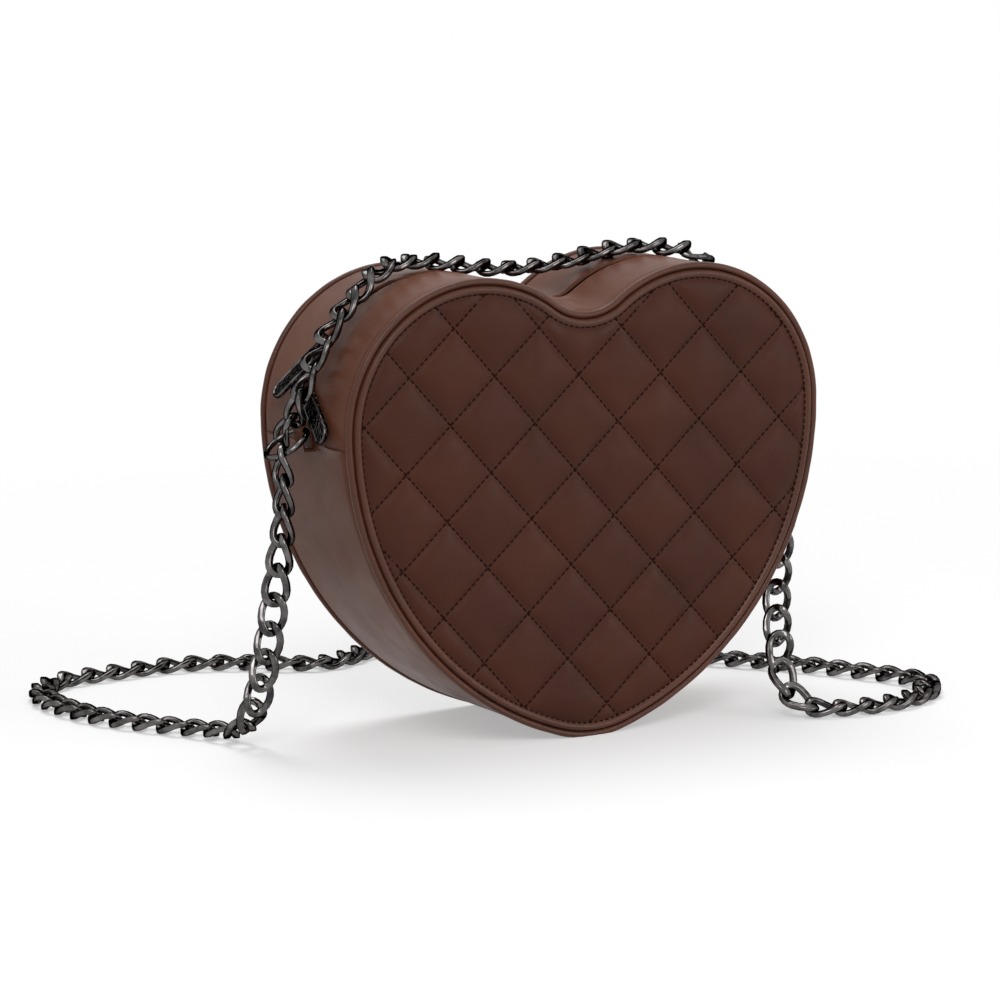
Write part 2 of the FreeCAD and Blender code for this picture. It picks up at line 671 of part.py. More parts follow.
# Zip pulls: a flat tab with a round end, whose eye runs through the slider's bail
def pull(label, turn, lean):
    """One pull, lying on the strip below its slider, leaning to the rear by lean."""
    body = node(label, doc.addObject("PartDesign::Body", label))
    sketch = sketch_on(body, f"{label}_outline", "XY_Plane")
    half = dim("pull_width") / 2
    bar = dim("pull_thickness") / 2
    shoulder = dim("pull_length") - half
    base = sketch.addGeometry(Part.LineSegment(Vector(-half, -bar, 0), Vector(half, -bar, 0)))
    right = sketch.addGeometry(Part.LineSegment(Vector(half, -bar, 0), Vector(half, shoulder, 0)))
    cap = sketch.addGeometry(
        Part.ArcOfCircle(Part.Circle(Vector(0, shoulder, 0), Vector(0, 0, 1), half), 0, math.pi)
    )
    left = sketch.addGeometry(Part.LineSegment(Vector(-half, shoulder, 0), Vector(-half, -bar, 0)))
    sketch.addConstraint(Constraint("Coincident", base, 2, right, 1))
    sketch.addConstraint(Constraint("Tangent", right, 2, cap, 1))
    sketch.addConstraint(Constraint("Tangent", cap, 2, left, 1))
    sketch.addConstraint(Constraint("Coincident", left, 2, base, 1))
    sketch.addConstraint(Constraint("Symmetric", base, 1, base, 2, -2))
    sketch.addConstraint(Constraint("Vertical", right))
    sketch.addConstraint(Constraint("Vertical", left))
    bind(sketch, Constraint("DistanceX", base, 1, base, 2, 2 * half), "dims.pull_width")
    bind(sketch, Constraint("DistanceY", base, 1, -1, 1, bar), "dims.pull_thickness / 2")
    bind(sketch, Constraint("DistanceY", -1, 1, cap, 3, shoulder), "dims.pull_length - dims.pull_width / 2")
    slot_start = "dims.pull_thickness / 2"
    rectangle(sketch, "dims.pull_eye_width", slot_start, f"{slot_start} + dims.pull_eye_length")
    pad = body.newObject("PartDesign::Pad", f"{label}_pad")
    pad.Profile = sketch
    pad.Midplane = True
    pad.setExpression("Length", "dims.pull_thickness")
    angle = math.radians(dim(turn))
    tilt = math.radians(dim(lean))
    outward = Vector(math.cos(angle), 0, math.sin(angle))
    downhill = Vector(-math.sin(angle), 0, math.cos(angle))
    along = downhill * math.cos(tilt) + across * math.sin(tilt)
    sideways = along.cross(outward)
    eye = left_lobe + outward * worked_out(PULL_BAR_RADIUS)
    # A leaning pull lies a little to one side, where its eye clears the bail's leg
    eye -= sideways * math.copysign(dim("pull_shift"), dim(lean))
    body.Placement = Placement(eye, Rotation(sideways, along, outward, "ZYX"))


pull("pull_a", "slider_a_turn", "pull_a_lean")
pull("pull_b", "slider_b_turn", "pull_b_lean")

# Tabs in the side seams, each holding a ring
ring_radius = (dim("ring_diameter") - dim("ring_wire")) / 2
# The ring's wire bows by this much over the width of the tab, so it sits half of it further in
ring_bow = ring_radius - math.sqrt(ring_radius**2 - (dim("tab_width") / 2) ** 2)
ring_arm = ring_radius - ring_bow / 2
ring_place = {}
for word, side in (("left", -1), ("right", 1)):
    reach = f"{side} * {TAB_REACH}"
    inner = f"{side} * ({HALF_WIDTH} - {STRIP_UNDERSIDE} + dims.seat_gap)"
    seat = f"{side} * ({TAB_REACH} - {TAB_RADIUS})"
    outer = f"{side} * ({TAB_REACH} - {TAB_RADIUS} + {TAB_TAIL})"
    near, far = sorted((inner, outer), key=worked_out)
    tail_high = f"{TAIL_LOW} + {TAB_TAIL}"
    tail = block(f"{word}_tab_tail", (near, TAB_FRONT, TAIL_LOW), (far, TAB_BACK, tail_high))
    near, far = sorted((seat, outer), key=worked_out)
    riser = block(f"{word}_tab_riser", (near, TAB_FRONT, TAIL_LOW), (far, TAB_BACK, TAB_HEIGHT))
    loop = fuse(f"{word}_tab_loop", drum(f"{word}_tab_drum", TAB_RADIUS, reach, TAB_HEIGHT), riser)
    strip = fuse(f"{word}_tab_strip", loop, tail)
    bore = drum(f"{word}_tab_bore", "dims.tab_bore", reach, TAB_HEIGHT)
    node(f"{word}_tab", cut(f"{word}_tab", strip, bore))
    ring = node(f"{word}_ring", doc.addObject("Part::Torus", f"{word}_ring"))
    ring.setExpression("Radius1", "(dims.ring_diameter - dims.ring_wire) / 2")
    ring.setExpression("Radius2", "dims.ring_wire / 2")
    turned = Rotation(across, side * dim("ring_droop"))
    pivot = Vector(worked_out(reach), -dim("tab_forward"), worked_out(TAB_HEIGHT))
    ring_place[side] = Placement(pivot + turned.multVec(Vector(side * ring_arm, 0, 0)), turned)
    ring.Placement = ring_place[side]


# Curb chain: twisted oval links of round wire
def bent_wire(start, along, end):
    """A length of link wire on the arc that leaves start along a direction and reaches end."""
    chord = end - start
    inward = (chord - along * chord.dot(along)).normalize()
    radius = chord.dot(chord) / (2 * chord.dot(inward))
    sweep = 2 * math.atan2(chord.dot(inward), chord.dot(along))
    axis = along.cross(inward)
    disc = Part.Face(Part.Wire(Part.Circle(start, along, dim("link_wire") / 2).toShape()))
    heading = Rotation(axis, math.degrees(sweep)).multVec(along)
    return disc.revolve(start + inward * radius, axis, math.degrees(sweep)), heading, radius * sweep


def chain_link():
    """One link about the origin, its length along X, each end turned by the twist."""
    half_length = (dim("link_pitch") + dim("link_wire") + dim("link_play")) / 2
    half_width = (dim("link_width") - dim("link_wire")) / 2
    twist = math.radians(dim("link_twist"))
    slope = math.atan(half_width * twist / half_length)
    side_middle = Vector(0, half_width, 0)
    end_middle = Vector(half_length, 0, 0)
    leaving = Vector(math.cos(slope), 0, math.sin(slope))
    arriving = Vector(0, -math.cos(twist), -math.sin(twist))
    # The two arcs of a quarter meet halfway between their tangents' ends, an equal reach from each
    span = end_middle - side_middle
    both = leaving + arriving
    a, b, c = 4 - both.dot(both), 2 * span.dot(both), -span.dot(span)
    reach = (-b + math.sqrt(b * b - 4 * a * c)) / (2 * a)
    middle = (side_middle + leaving * reach + end_middle - arriving * reach) * 0.5
    first, heading, first_length = bent_wire(side_middle, leaving, middle)
    second, _, second_length = bent_wire(middle, heading, end_middle)
    quarter = [first, second]
    pieces = quarter + [
        piece.rotated(Vector(), axis, 180)
        for axis in (Vector(1, 0, 0), Vector(0, 1, 0), Vector(0, 0, 1))
        for piece in quarter
    ]
    link = pieces[0].multiFuse(pieces[1:]).removeSplitter()
    section = math.pi * (dim("link_wire") / 2) ** 2
    expected = 4 * section * (first_length + second_length)
    print(f"link volume {link.Volume:.3f}, section times length {expected:.3f}, solids {len(link.Solids)}")
    return link.Solids[0]


def hook(side, turn, neighbour):
    """The end of a route, just through a ring's wire, and which way its last link faces.

    The wire is met at a turn round the ring from its outermost point, towards the rear. The link's
    eye stands square to the wire there.
    """
    angle = math.radians(dim(turn))
    spoke = Vector(side * math.cos(angle), math.sin(angle), 0)
    wire = ring_place[side].multVec(spoke * ring_radius)
    wire_run = ring_place[side].Rotation.multVec(Vector(-spoke.y, spoke.x, 0))
    inward = (wire - neighbour).normalize()
    square = (wire_run - inward * wire_run.dot(inward)).normalize()
    twist = math.radians(dim("link_twist"))
    through = dim("ring_wire") / 2 + dim("clearance")
    return wire + inward * through, square * math.cos(twist) + square.cross(inward) * math.sin(twist)


def smooth_line(points):
    """A smooth curve of second degree that the points steer."""
    count = len(points)
    curve = Part.BSplineCurve()
    degree = 2
    multiplicities = [degree + 1] + [1] * (count - degree - 1) + [degree + 1]
    curve.buildFromPolesMultsKnots(points, multiplicities, list(range(len(multiplicities))), False, degree)
    return curve


def chain(link, route, turn):
    """A whole chain from the left ring to the right one: links along its route, as separate solids."""
    points = [Vector(x, y, z) for x, y, z, _ in route]
    facings = [Vector(FACINGS[word]).normalize() for *_, word in route]
    for side, place in ((-1, 0), (1, -1)):
        end, facing = hook(side, turn, points[place])
        if facing.dot(facings[place]) < 0:
            facing = -facing
        points.insert(place if side < 0 else len(points), end)
        facings.insert(place if side < 0 else len(facings), facing)
    line = smooth_line(points)
    facing_line = smooth_line(facings)
    count = round(line.length() / dim("link_pitch"))
    pitch = line.length() / count
    print(f"chain of {line.length():.1f} mm, {count} links of pitch {pitch:.3f}")
    runs = [line.parameterAtDistance(pitch * i, line.FirstParameter) for i in range(count + 1)]
    links = []
    for start, end in zip(runs, runs[1:]):
        a, b = line.value(start), line.value(end)
        along = (b - a).normalize()
        sideways = facing_line.value((start + end) / 2).cross(along).normalize()
        turned = Rotation(along, sideways, along.cross(sideways), "XYZ")
        links.append(link.transformed(Placement((a + b) * 0.5, turned).toMatrix()))
    return links


link = chain_link()
for word, route, turn in (
    ("handle", HANDLE_ROUTE, "handle_hook_turn"),
    ("strap", STRAP_ROUTE, "strap_hook_turn"),
):
    links = chain(link, route, turn)
    half = len(links) // 2
    node(f"chain_{word}_left", feature(f"chain_{word}_left", Part.makeCompound(links[:half])))
    node(f"chain_{word}_right", feature(f"chain_{word}_right", Part.makeCompound(links[half:])))

doc.recompute()
for item in doc.Objects:
    wrong = {"Invalid", "Error"} & set(item.State)
    if wrong:
        raise RuntimeError(f"{item.Label} is {wrong}")
for item in nodes:
    if item.Shape.isNull() or not item.Shape.isValid() or not item.Shape.Solids:
        raise RuntimeError(f"{item.Label} has no valid solid")
for item in nodes:
    item.Shape.exportStep(f"parts/{item.Label}.step")
    print(f"{item.Label}: {len(item.Shape.Solids)} solids, {item.Shape.Volume:.1f} mm3")
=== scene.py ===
"""A heart shaped purse: quilted leather on a boxy body, with a zip, side rings and a curb chain."""

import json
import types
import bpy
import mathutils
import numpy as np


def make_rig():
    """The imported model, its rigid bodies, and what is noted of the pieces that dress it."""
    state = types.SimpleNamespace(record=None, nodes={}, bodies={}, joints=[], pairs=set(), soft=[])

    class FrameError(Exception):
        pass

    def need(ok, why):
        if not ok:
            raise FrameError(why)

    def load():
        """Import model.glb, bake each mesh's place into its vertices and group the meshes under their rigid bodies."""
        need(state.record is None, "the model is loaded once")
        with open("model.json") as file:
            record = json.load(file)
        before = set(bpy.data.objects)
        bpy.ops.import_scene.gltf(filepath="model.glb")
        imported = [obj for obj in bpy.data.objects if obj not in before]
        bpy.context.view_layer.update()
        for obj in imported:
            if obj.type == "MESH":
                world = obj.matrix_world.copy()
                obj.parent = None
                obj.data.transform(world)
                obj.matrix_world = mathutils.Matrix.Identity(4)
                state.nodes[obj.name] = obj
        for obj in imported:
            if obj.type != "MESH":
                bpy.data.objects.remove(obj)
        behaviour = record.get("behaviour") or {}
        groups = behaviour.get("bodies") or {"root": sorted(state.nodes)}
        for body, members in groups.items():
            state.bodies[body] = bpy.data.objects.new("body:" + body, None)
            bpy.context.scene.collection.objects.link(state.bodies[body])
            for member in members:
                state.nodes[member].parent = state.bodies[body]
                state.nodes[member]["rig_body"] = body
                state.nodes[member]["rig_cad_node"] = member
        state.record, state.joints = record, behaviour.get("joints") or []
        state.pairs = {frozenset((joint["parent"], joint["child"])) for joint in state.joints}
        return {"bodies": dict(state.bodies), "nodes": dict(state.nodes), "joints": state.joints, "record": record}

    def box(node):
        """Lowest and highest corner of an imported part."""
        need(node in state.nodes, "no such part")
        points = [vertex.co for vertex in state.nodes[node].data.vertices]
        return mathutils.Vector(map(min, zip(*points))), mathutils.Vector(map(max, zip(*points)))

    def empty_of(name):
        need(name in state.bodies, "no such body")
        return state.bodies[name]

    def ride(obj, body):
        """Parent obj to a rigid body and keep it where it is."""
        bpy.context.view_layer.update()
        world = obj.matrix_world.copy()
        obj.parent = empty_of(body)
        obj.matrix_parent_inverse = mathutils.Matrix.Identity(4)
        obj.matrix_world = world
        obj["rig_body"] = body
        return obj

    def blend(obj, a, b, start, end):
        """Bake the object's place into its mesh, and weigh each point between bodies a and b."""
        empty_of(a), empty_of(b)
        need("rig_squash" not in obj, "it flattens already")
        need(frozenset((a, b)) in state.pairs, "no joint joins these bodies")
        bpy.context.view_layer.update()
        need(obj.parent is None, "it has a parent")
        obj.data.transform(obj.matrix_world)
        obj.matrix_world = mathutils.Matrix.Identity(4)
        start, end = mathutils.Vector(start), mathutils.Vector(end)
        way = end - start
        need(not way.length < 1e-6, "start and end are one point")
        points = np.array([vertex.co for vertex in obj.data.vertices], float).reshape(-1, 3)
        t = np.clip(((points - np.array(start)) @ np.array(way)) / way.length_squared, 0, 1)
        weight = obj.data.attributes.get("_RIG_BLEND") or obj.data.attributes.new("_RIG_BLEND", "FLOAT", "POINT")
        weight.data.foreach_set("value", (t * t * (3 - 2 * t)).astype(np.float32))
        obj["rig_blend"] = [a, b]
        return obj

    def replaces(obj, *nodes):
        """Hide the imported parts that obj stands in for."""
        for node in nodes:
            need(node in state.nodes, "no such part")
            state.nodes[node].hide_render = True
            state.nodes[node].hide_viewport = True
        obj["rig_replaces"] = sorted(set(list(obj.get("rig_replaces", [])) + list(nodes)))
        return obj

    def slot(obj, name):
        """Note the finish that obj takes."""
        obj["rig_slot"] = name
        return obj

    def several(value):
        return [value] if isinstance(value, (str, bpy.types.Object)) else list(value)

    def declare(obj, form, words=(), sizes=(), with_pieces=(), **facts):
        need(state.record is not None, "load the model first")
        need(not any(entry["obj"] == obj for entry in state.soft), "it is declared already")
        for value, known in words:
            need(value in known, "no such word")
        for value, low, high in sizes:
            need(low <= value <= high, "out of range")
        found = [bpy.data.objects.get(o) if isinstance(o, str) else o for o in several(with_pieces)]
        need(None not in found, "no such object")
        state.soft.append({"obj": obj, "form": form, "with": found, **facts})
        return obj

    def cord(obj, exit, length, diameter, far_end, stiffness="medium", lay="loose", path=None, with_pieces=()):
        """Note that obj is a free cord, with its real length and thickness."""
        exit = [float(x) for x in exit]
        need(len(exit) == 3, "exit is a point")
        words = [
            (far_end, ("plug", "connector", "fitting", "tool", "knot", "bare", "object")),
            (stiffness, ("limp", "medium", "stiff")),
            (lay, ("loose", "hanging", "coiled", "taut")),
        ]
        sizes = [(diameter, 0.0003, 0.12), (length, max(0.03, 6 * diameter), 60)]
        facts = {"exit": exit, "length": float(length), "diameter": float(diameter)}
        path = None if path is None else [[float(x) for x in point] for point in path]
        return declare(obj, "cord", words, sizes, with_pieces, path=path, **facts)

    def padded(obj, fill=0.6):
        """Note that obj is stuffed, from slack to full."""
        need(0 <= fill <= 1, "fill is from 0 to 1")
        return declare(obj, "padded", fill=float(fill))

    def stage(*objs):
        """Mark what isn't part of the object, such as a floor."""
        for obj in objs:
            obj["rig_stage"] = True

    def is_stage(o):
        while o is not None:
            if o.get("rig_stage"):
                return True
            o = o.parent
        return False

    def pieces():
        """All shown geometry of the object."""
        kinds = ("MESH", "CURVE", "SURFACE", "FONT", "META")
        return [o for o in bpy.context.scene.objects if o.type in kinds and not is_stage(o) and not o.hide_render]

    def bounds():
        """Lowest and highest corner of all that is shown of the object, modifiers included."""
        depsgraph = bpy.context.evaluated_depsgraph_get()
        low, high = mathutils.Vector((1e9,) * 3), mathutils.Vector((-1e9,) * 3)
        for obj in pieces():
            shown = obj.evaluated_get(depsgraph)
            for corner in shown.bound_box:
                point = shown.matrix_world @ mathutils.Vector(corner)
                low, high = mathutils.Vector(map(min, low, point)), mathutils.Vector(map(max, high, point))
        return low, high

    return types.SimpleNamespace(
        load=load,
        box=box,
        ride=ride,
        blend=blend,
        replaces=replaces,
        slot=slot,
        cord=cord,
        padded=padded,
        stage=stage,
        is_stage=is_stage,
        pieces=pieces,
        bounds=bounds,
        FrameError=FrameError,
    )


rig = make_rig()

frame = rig.load()

import json
import logging
import math
from collections.abc import Iterator, Sequence
from dataclasses import dataclass
from enum import Enum
from functools import cached_property

import bpy
from mathutils import Matrix, Vector
from mathutils.geometry import delaunay_2d_cdt
from mathutils.kdtree import KDTree
from mathutils.noise import noise

LOG = logging.getLogger("purse")
CAD_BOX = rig.bounds()
MM = 0.001
FRONT = -1
REAR = 1
LEFT = -1
RIGHT = 1
FACES = (("front", FRONT), ("rear", REAR))
SIDES = (("left", LEFT), ("right", RIGHT))
BAG = "bag"
WHITE = (1.0, 1.0, 1.0, 1.0)


# Outline of the heart


@dataclass(frozen=True)
class Arc:
    """One arc of the outline: its middle, radius, first and last turn, and whether it is hollow."""

    x: float
    z: float
    radius: float
    start: float
    end: float
    hollow: bool = False

    @property
    def length(self) -> float:
        """Length along the arc."""
        return self.radius * abs(self.end - self.start)


@dataclass(frozen=True)
class Station:
    """A place on the outline: its point and its outward normal, both in the XZ plane."""

    x: float
    z: float
    nx: float
    nz: float

    def at(self, inset: float, y: float) -> Vector:
        """The point that lies inset from the outline, at depth y."""
        return Vector((self.x - inset * self.nx, y, self.z - inset * self.nz))


@dataclass(frozen=True)
class HeartOutline:
    """The heart's outer edge, made of arcs that run into each other, even about the Z axis."""

    lobe_radius: float = 0.0545
    lobe_reach: float = 0.0455
    side_reach: float = 0.0245
    tip_radius: float = 0.0465
    tip_height: float = 0.0457
    notch_radius: float = 0.021
    seam_drop: float = 0.006
    sample_step: float = 0.0004
    search_half: float = 0.1
    search_top: float = 0.18

    @cached_property
    def side_radius(self) -> float:
        """Radius of the long arcs from the lobes down to the tip."""
        return self.lobe_radius + self.lobe_reach + self.side_reach

    @cached_property
    def shoulder(self) -> float:
        """Height of the lobes' middles, where the heart is widest."""
        return self.tip_height + math.sqrt((self.side_radius - self.tip_radius) ** 2 - self.side_reach**2)

    @cached_property
    def arcs(self) -> tuple[Arc, ...]:
        """Arcs of the right half.

        Returns:
            The arcs in order, from the notch's lowest point to the tip's.
        """
        rise = math.sqrt((self.lobe_radius + self.notch_radius) ** 2 - self.lobe_reach**2)
        notch_turn = -math.atan2(rise, self.lobe_reach)
        side_turn = -math.atan2(self.shoulder - self.tip_height, self.side_reach)
        down = -math.pi / 2
        return (
            Arc(0, self.shoulder + rise, self.notch_radius, down, notch_turn, True),
            Arc(self.lobe_reach, self.shoulder, self.lobe_radius, notch_turn + math.pi, 0),
            Arc(-self.side_reach, self.shoulder, self.side_radius, 0, side_turn),
            Arc(0, self.tip_height, self.tip_radius, side_turn, down),
        )

    @cached_property
    def length(self) -> float:
        """Length of the whole outline."""
        return 2 * sum(arc.length for arc in self.arcs)

    @cached_property
    def seam_run(self) -> float:
        """Run along the right half from the notch to the side seam."""
        notch, lobe, side, _ = self.arcs
        return notch.length + lobe.length + side.radius * math.asin(self.seam_drop / side.radius)

    def station(self, run: float) -> Station:
        """Find a place on the outline.

        Args:
            run: Length along the outline from the notch's lowest point, to the right.

        Returns:
            The station there.
        """
        run %= self.length
        mirrored = run > self.length / 2
        left = self.length - run if mirrored else run
        for arc in self.arcs:
            if left <= arc.length:
                break
            left -= arc.length
        turn = arc.start + (arc.end - arc.start) * min(left / arc.length, 1)
        nx, nz = math.cos(turn), math.sin(turn)
        x, z = arc.x + arc.radius * nx, arc.z + arc.radius * nz
        if arc.hollow:
            nx, nz = -nx, -nz
        return Station(-x, z, -nx, nz) if mirrored else Station(x, z, nx, nz)

    def stations(self, start: float, end: float, step: float) -> list[Station]:
        """Stations from one run to another, about a step apart, with both ends."""
        count = max(2, round((end - start) / step))
        return [self.station(start + (end - start) * i / count) for i in range(count + 1)]

    def loop(self, step: float) -> list[Station]:
        """Stations once round the outline, about a step apart."""
        return self.stations(0, self.length, step)[:-1]

    @cached_property
    def tree(self) -> tuple[KDTree, list[Station]]:
        """A search tree over the whole outline.

        Returns:
            The tree, and the close stations that it was made from.
        """
        found = self.loop(self.sample_step)
        tree = KDTree(len(found))
        for i, s in enumerate(found):
            tree.insert((s.x, 0, s.z), i)
        tree.balance()
        return tree, found

    def inset(self, x: float, z: float) -> float:
        """Measure how far inside the outline a point lies.

        Args:
            x: The point's place to the right.
            z: The point's height.

        Returns:
            Its distance from the nearest station, less than zero outside.
        """
        tree, found = self.tree
        s = found[tree.find((x, 0, z))[1]]
        return (s.x - x) * s.nx + (s.z - z) * s.nz

    def holds(self, x: float, z: float, inset: float) -> bool:
        """Whether a point lies inside the outline by more than an inset."""
        near = abs(x) < self.search_half and 0 < z < self.search_top
        return near and self.inset(x, z) > inset


HEART = HeartOutline()


# Finishes


def linear(code: str) -> tuple[float, float, float, float]:
    """Turn an sRGB hex colour to linear light.

    Args:
        code: Six hex digits after a hash sign.

    Returns:
        Red, green, blue and a full alpha.
    """
    def channel(value: float) -> float:
        """One channel from sRGB to linear, with the constants of the sRGB standard."""
        return value / 12.92 if value <= 0.04045 else ((value + 0.055) / 1.055) ** 2.4

    red, green, blue = (channel(int(code[i : i + 2], 16) / 255) for i in (1, 3, 5))
    return red, green, blue, 1.0


def per_metre(millimetres: float) -> float:
    """A texture's scale for a pattern of that size in millimetres."""
    return 1 / (millimetres * MM)


def add_node(tree: bpy.types.NodeTree, kind: str, inputs: dict | None = None, **settings) -> bpy.types.Node:
    """Add a node to a tree.

    Args:
        tree: The node tree.
        kind: The node's type.
        inputs: Sockets by name or index, each with an output to link or a value.
        settings: Other properties of the node.

    Returns:
        The new node.
    """
    node = tree.nodes.new(kind)
    for name, value in settings.items():
        setattr(node, name, value)
    for key, value in (inputs or {}).items():
        if isinstance(value, bpy.types.NodeSocket):
            tree.links.new(value, node.inputs[key])
        else:
            node.inputs[key].default_value = value
    return node


@dataclass(frozen=True)
class Finish:
    """A finish with its own procedural material, which ranges from a dark to a light tone."""

    name: str
    dark: str = "#000000"
    light: str = "#ffffff"

    def sockets(self, tree: bpy.types.NodeTree, place: bpy.types.NodeSocket) -> dict[str, object]:
        """Make the patterns of the finish.

        Args:
            tree: The material's node tree.
            place: Coordinates of the patterns.

        Returns:
            What goes into the principled shader, by socket.
        """
        raise NotImplementedError

    def toned(
        self, tree: bpy.types.NodeTree, mask: bpy.types.NodeSocket, spread: tuple[float, float] = (0.35, 0.65)
    ) -> bpy.types.NodeSocket:
        """Make a colour between the two tones.

        Args:
            tree: The material's node tree.
            mask: What drives the tone.
            spread: The mask's values at the dark and at the light tone.

        Returns:
            The colour.
        """
        ramp = add_node(tree, "ShaderNodeValToRGB", {"Fac": mask})
        stops = list(ramp.color_ramp.elements)
        for stop, position, code in zip(stops, spread, (self.dark, self.light)):
            stop.position = position
            stop.color = linear(code)
        return ramp.outputs["Color"]

    @cached_property
    def material(self) -> bpy.types.Material:
        """Make the finish's material, once.

        Returns:
            The material.
        """
        made = bpy.data.materials.new(self.name)
        made.use_nodes = True
        tree = made.node_tree
        tree.nodes.clear()
        place = add_node(tree, "ShaderNodeTexCoord").outputs["Object"]
        shader = add_node(tree, "ShaderNodeBsdfPrincipled", self.sockets(tree, place))
        add_node(tree, "ShaderNodeOutputMaterial", {"Surface": shader.outputs[0]})
        return made


@dataclass(frozen=True)
class CoatedLeather(Finish):
    """Polyurethane-coated leather, embossed with a fine pebble grain: satin, with soft broad highlights.

    A real grain of about half a millimetre is too fine to show in the render, so it is drawn coarser.
    """

    dark: str = "#422218"
    light: str = "#4d291c"
    tone_mm: float = 38.0
    tone_spread: tuple[float, float] = (0.34, 0.66)
    grain_mm: float = 0.9
    wrinkle_mm: float = 7.0
    rough_low: float = 0.42
    rough_high: float = 0.56
    grain_height: float = 0.00005
    wrinkle_height: float = 0.00012
    specular: float = 0.15

    def sockets(self, tree: bpy.types.NodeTree, place: bpy.types.NodeSocket) -> dict[str, object]:
        """Make clouds of two tones, pebbles, shallow wrinkles and roughness that follows the wrinkles.

        Args:
            tree: The material's node tree.
            place: Coordinates of the patterns.

        Returns:
            What goes into the principled shader, by socket.
        """
        cloud = add_node(
            tree, "ShaderNodeTexNoise", {"Vector": place, "Scale": per_metre(self.tone_mm), "Detail": 4.0}
        )
        pebble = add_node(
            tree,
            "ShaderNodeTexVoronoi",
            {"Vector": place, "Scale": per_metre(self.grain_mm)},
            feature="SMOOTH_F1",
        )
        wrinkle = add_node(
            tree,
            "ShaderNodeTexNoise",
            {"Vector": place, "Scale": per_metre(self.wrinkle_mm), "Detail": 5.0, "Distortion": 0.6},
        ).outputs["Fac"]
        rough = add_node(
            tree,
            "ShaderNodeMapRange",
            {
                "Value": wrinkle,
                "From Min": 0.3,
                "From Max": 0.7,
                "To Min": self.rough_low,
                "To Max": self.rough_high,
            },
        )
        folds = add_node(tree, "ShaderNodeBump", {"Height": wrinkle, "Distance": self.wrinkle_height})
        grain = add_node(
            tree,
            "ShaderNodeBump",
            {
                "Height": pebble.outputs["Distance"],
                "Distance": self.grain_height,
                "Normal": folds.outputs["Normal"],
            },
            invert=True,
        )
        return {
            "Base Color": self.toned(tree, cloud.outputs["Fac"], self.tone_spread),
            "Roughness": rough.outputs["Result"],
            "Normal": grain.outputs["Normal"],
            "Specular IOR Level": self.specular,
        }


@dataclass(frozen=True)
class PlatedMetal(Finish):
    """Polished zinc with a black nickel plating: dark, with sharp bright reflections, a tone in painted streaks of
    reflection and painted dark rims at grazing edges.
    """

    dark: str = "#3c3a3a"
    light: str = "#706d6c"
    # Painted dark rims: the tint at grazing edges, dark where the edges would mirror dark surroundings
    edge: str = "#242424"
    painted_streak_mm: float = 5.0
    rough_low: float = 0.05
    rough_high: float = 0.15
    knurl_mm: float = 0.0
    knurl_height: float = 0.0005

    def sockets(self, tree: bpy.types.NodeTree, place: bpy.types.NodeSocket) -> dict[str, object]:
        """Make a tone in painted streaks of reflection and a roughness, both drifting over a few millimetres, and
        pebbles where they are cast in.

        Args:
            tree: The material's node tree.
            place: Coordinates of the patterns.

        Returns:
            What goes into the principled shader, by socket.
        """
        # Painted streaks of reflection in the base tone; the roughness drifts with the same noise
        painted_streaks = add_node(
            tree, "ShaderNodeTexNoise", {"Vector": place, "Scale": per_metre(self.painted_streak_mm), "Detail": 3.0}
        ).outputs["Fac"]
        rough = add_node(
            tree, "ShaderNodeMapRange", {"Value": painted_streaks, "To Min": self.rough_low, "To Max": self.rough_high}
        )
        made = {
            "Base Color": self.toned(tree, painted_streaks),
            "Roughness": rough.outputs["Result"],
            "Metallic": 1.0,
            # The dark edge tint paints the rims' reflection dark
            "Specular Tint": linear(self.edge),
        }
        if self.knurl_mm:
            pebble = add_node(
                tree, "ShaderNodeTexVoronoi", {"Vector": place, "Scale": per_metre(self.knurl_mm)}
            )
            cast = add_node(
                tree,
                "ShaderNodeBump",
                {"Height": pebble.outputs["Distance"], "Distance": self.knurl_height},
                invert=True,
            )
            made["Normal"] = cast.outputs["Normal"]
        return made


@dataclass(frozen=True)
class Woven(Finish):
    """Woven polyester: crossing threads that show as a fine check of light and dark, matt.

    Real threads of about a quarter of a millimetre are too fine to show, so they are drawn coarser.
    """

    dark: str = "#1d120f"
    light: str = "#33211c"
    thread_mm: float = 0.7
    relief: float = 0.0001
    roughness: float = 0.8
    sheen: float = 0.2

    def sockets(self, tree: bpy.types.NodeTree, place: bpy.types.NodeSocket) -> dict[str, object]:
        """Make two bands that cross at right angles, for the threads' tone and their height.

        Args:
            tree: The material's node tree.
            place: Coordinates of the patterns.

        Returns:
            What goes into the principled shader, by socket.
        """
        turned = add_node(tree, "ShaderNodeMapping", {"Vector": place, "Rotation": (0.0, math.pi / 4, 0.0)})
        bands = [
            add_node(
                tree,
                "ShaderNodeTexWave",
                {"Vector": turned.outputs[0], "Scale": per_metre(self.thread_mm) / (2 * math.pi)},
                bands_direction=way,
            ).outputs["Fac"]
            for way in ("X", "Z")
        ]
        check = add_node(tree, "ShaderNodeMath", {0: bands[0], 1: bands[1]}, operation="MULTIPLY").outputs[0]
        weave = add_node(tree, "ShaderNodeBump", {"Height": check, "Distance": self.relief})
        return {
            "Base Color": self.toned(tree, check, (0.0, 1.0)),
            "Normal": weave.outputs["Normal"],
            "Roughness": self.roughness,
            "Sheen Weight": self.sheen,
        }


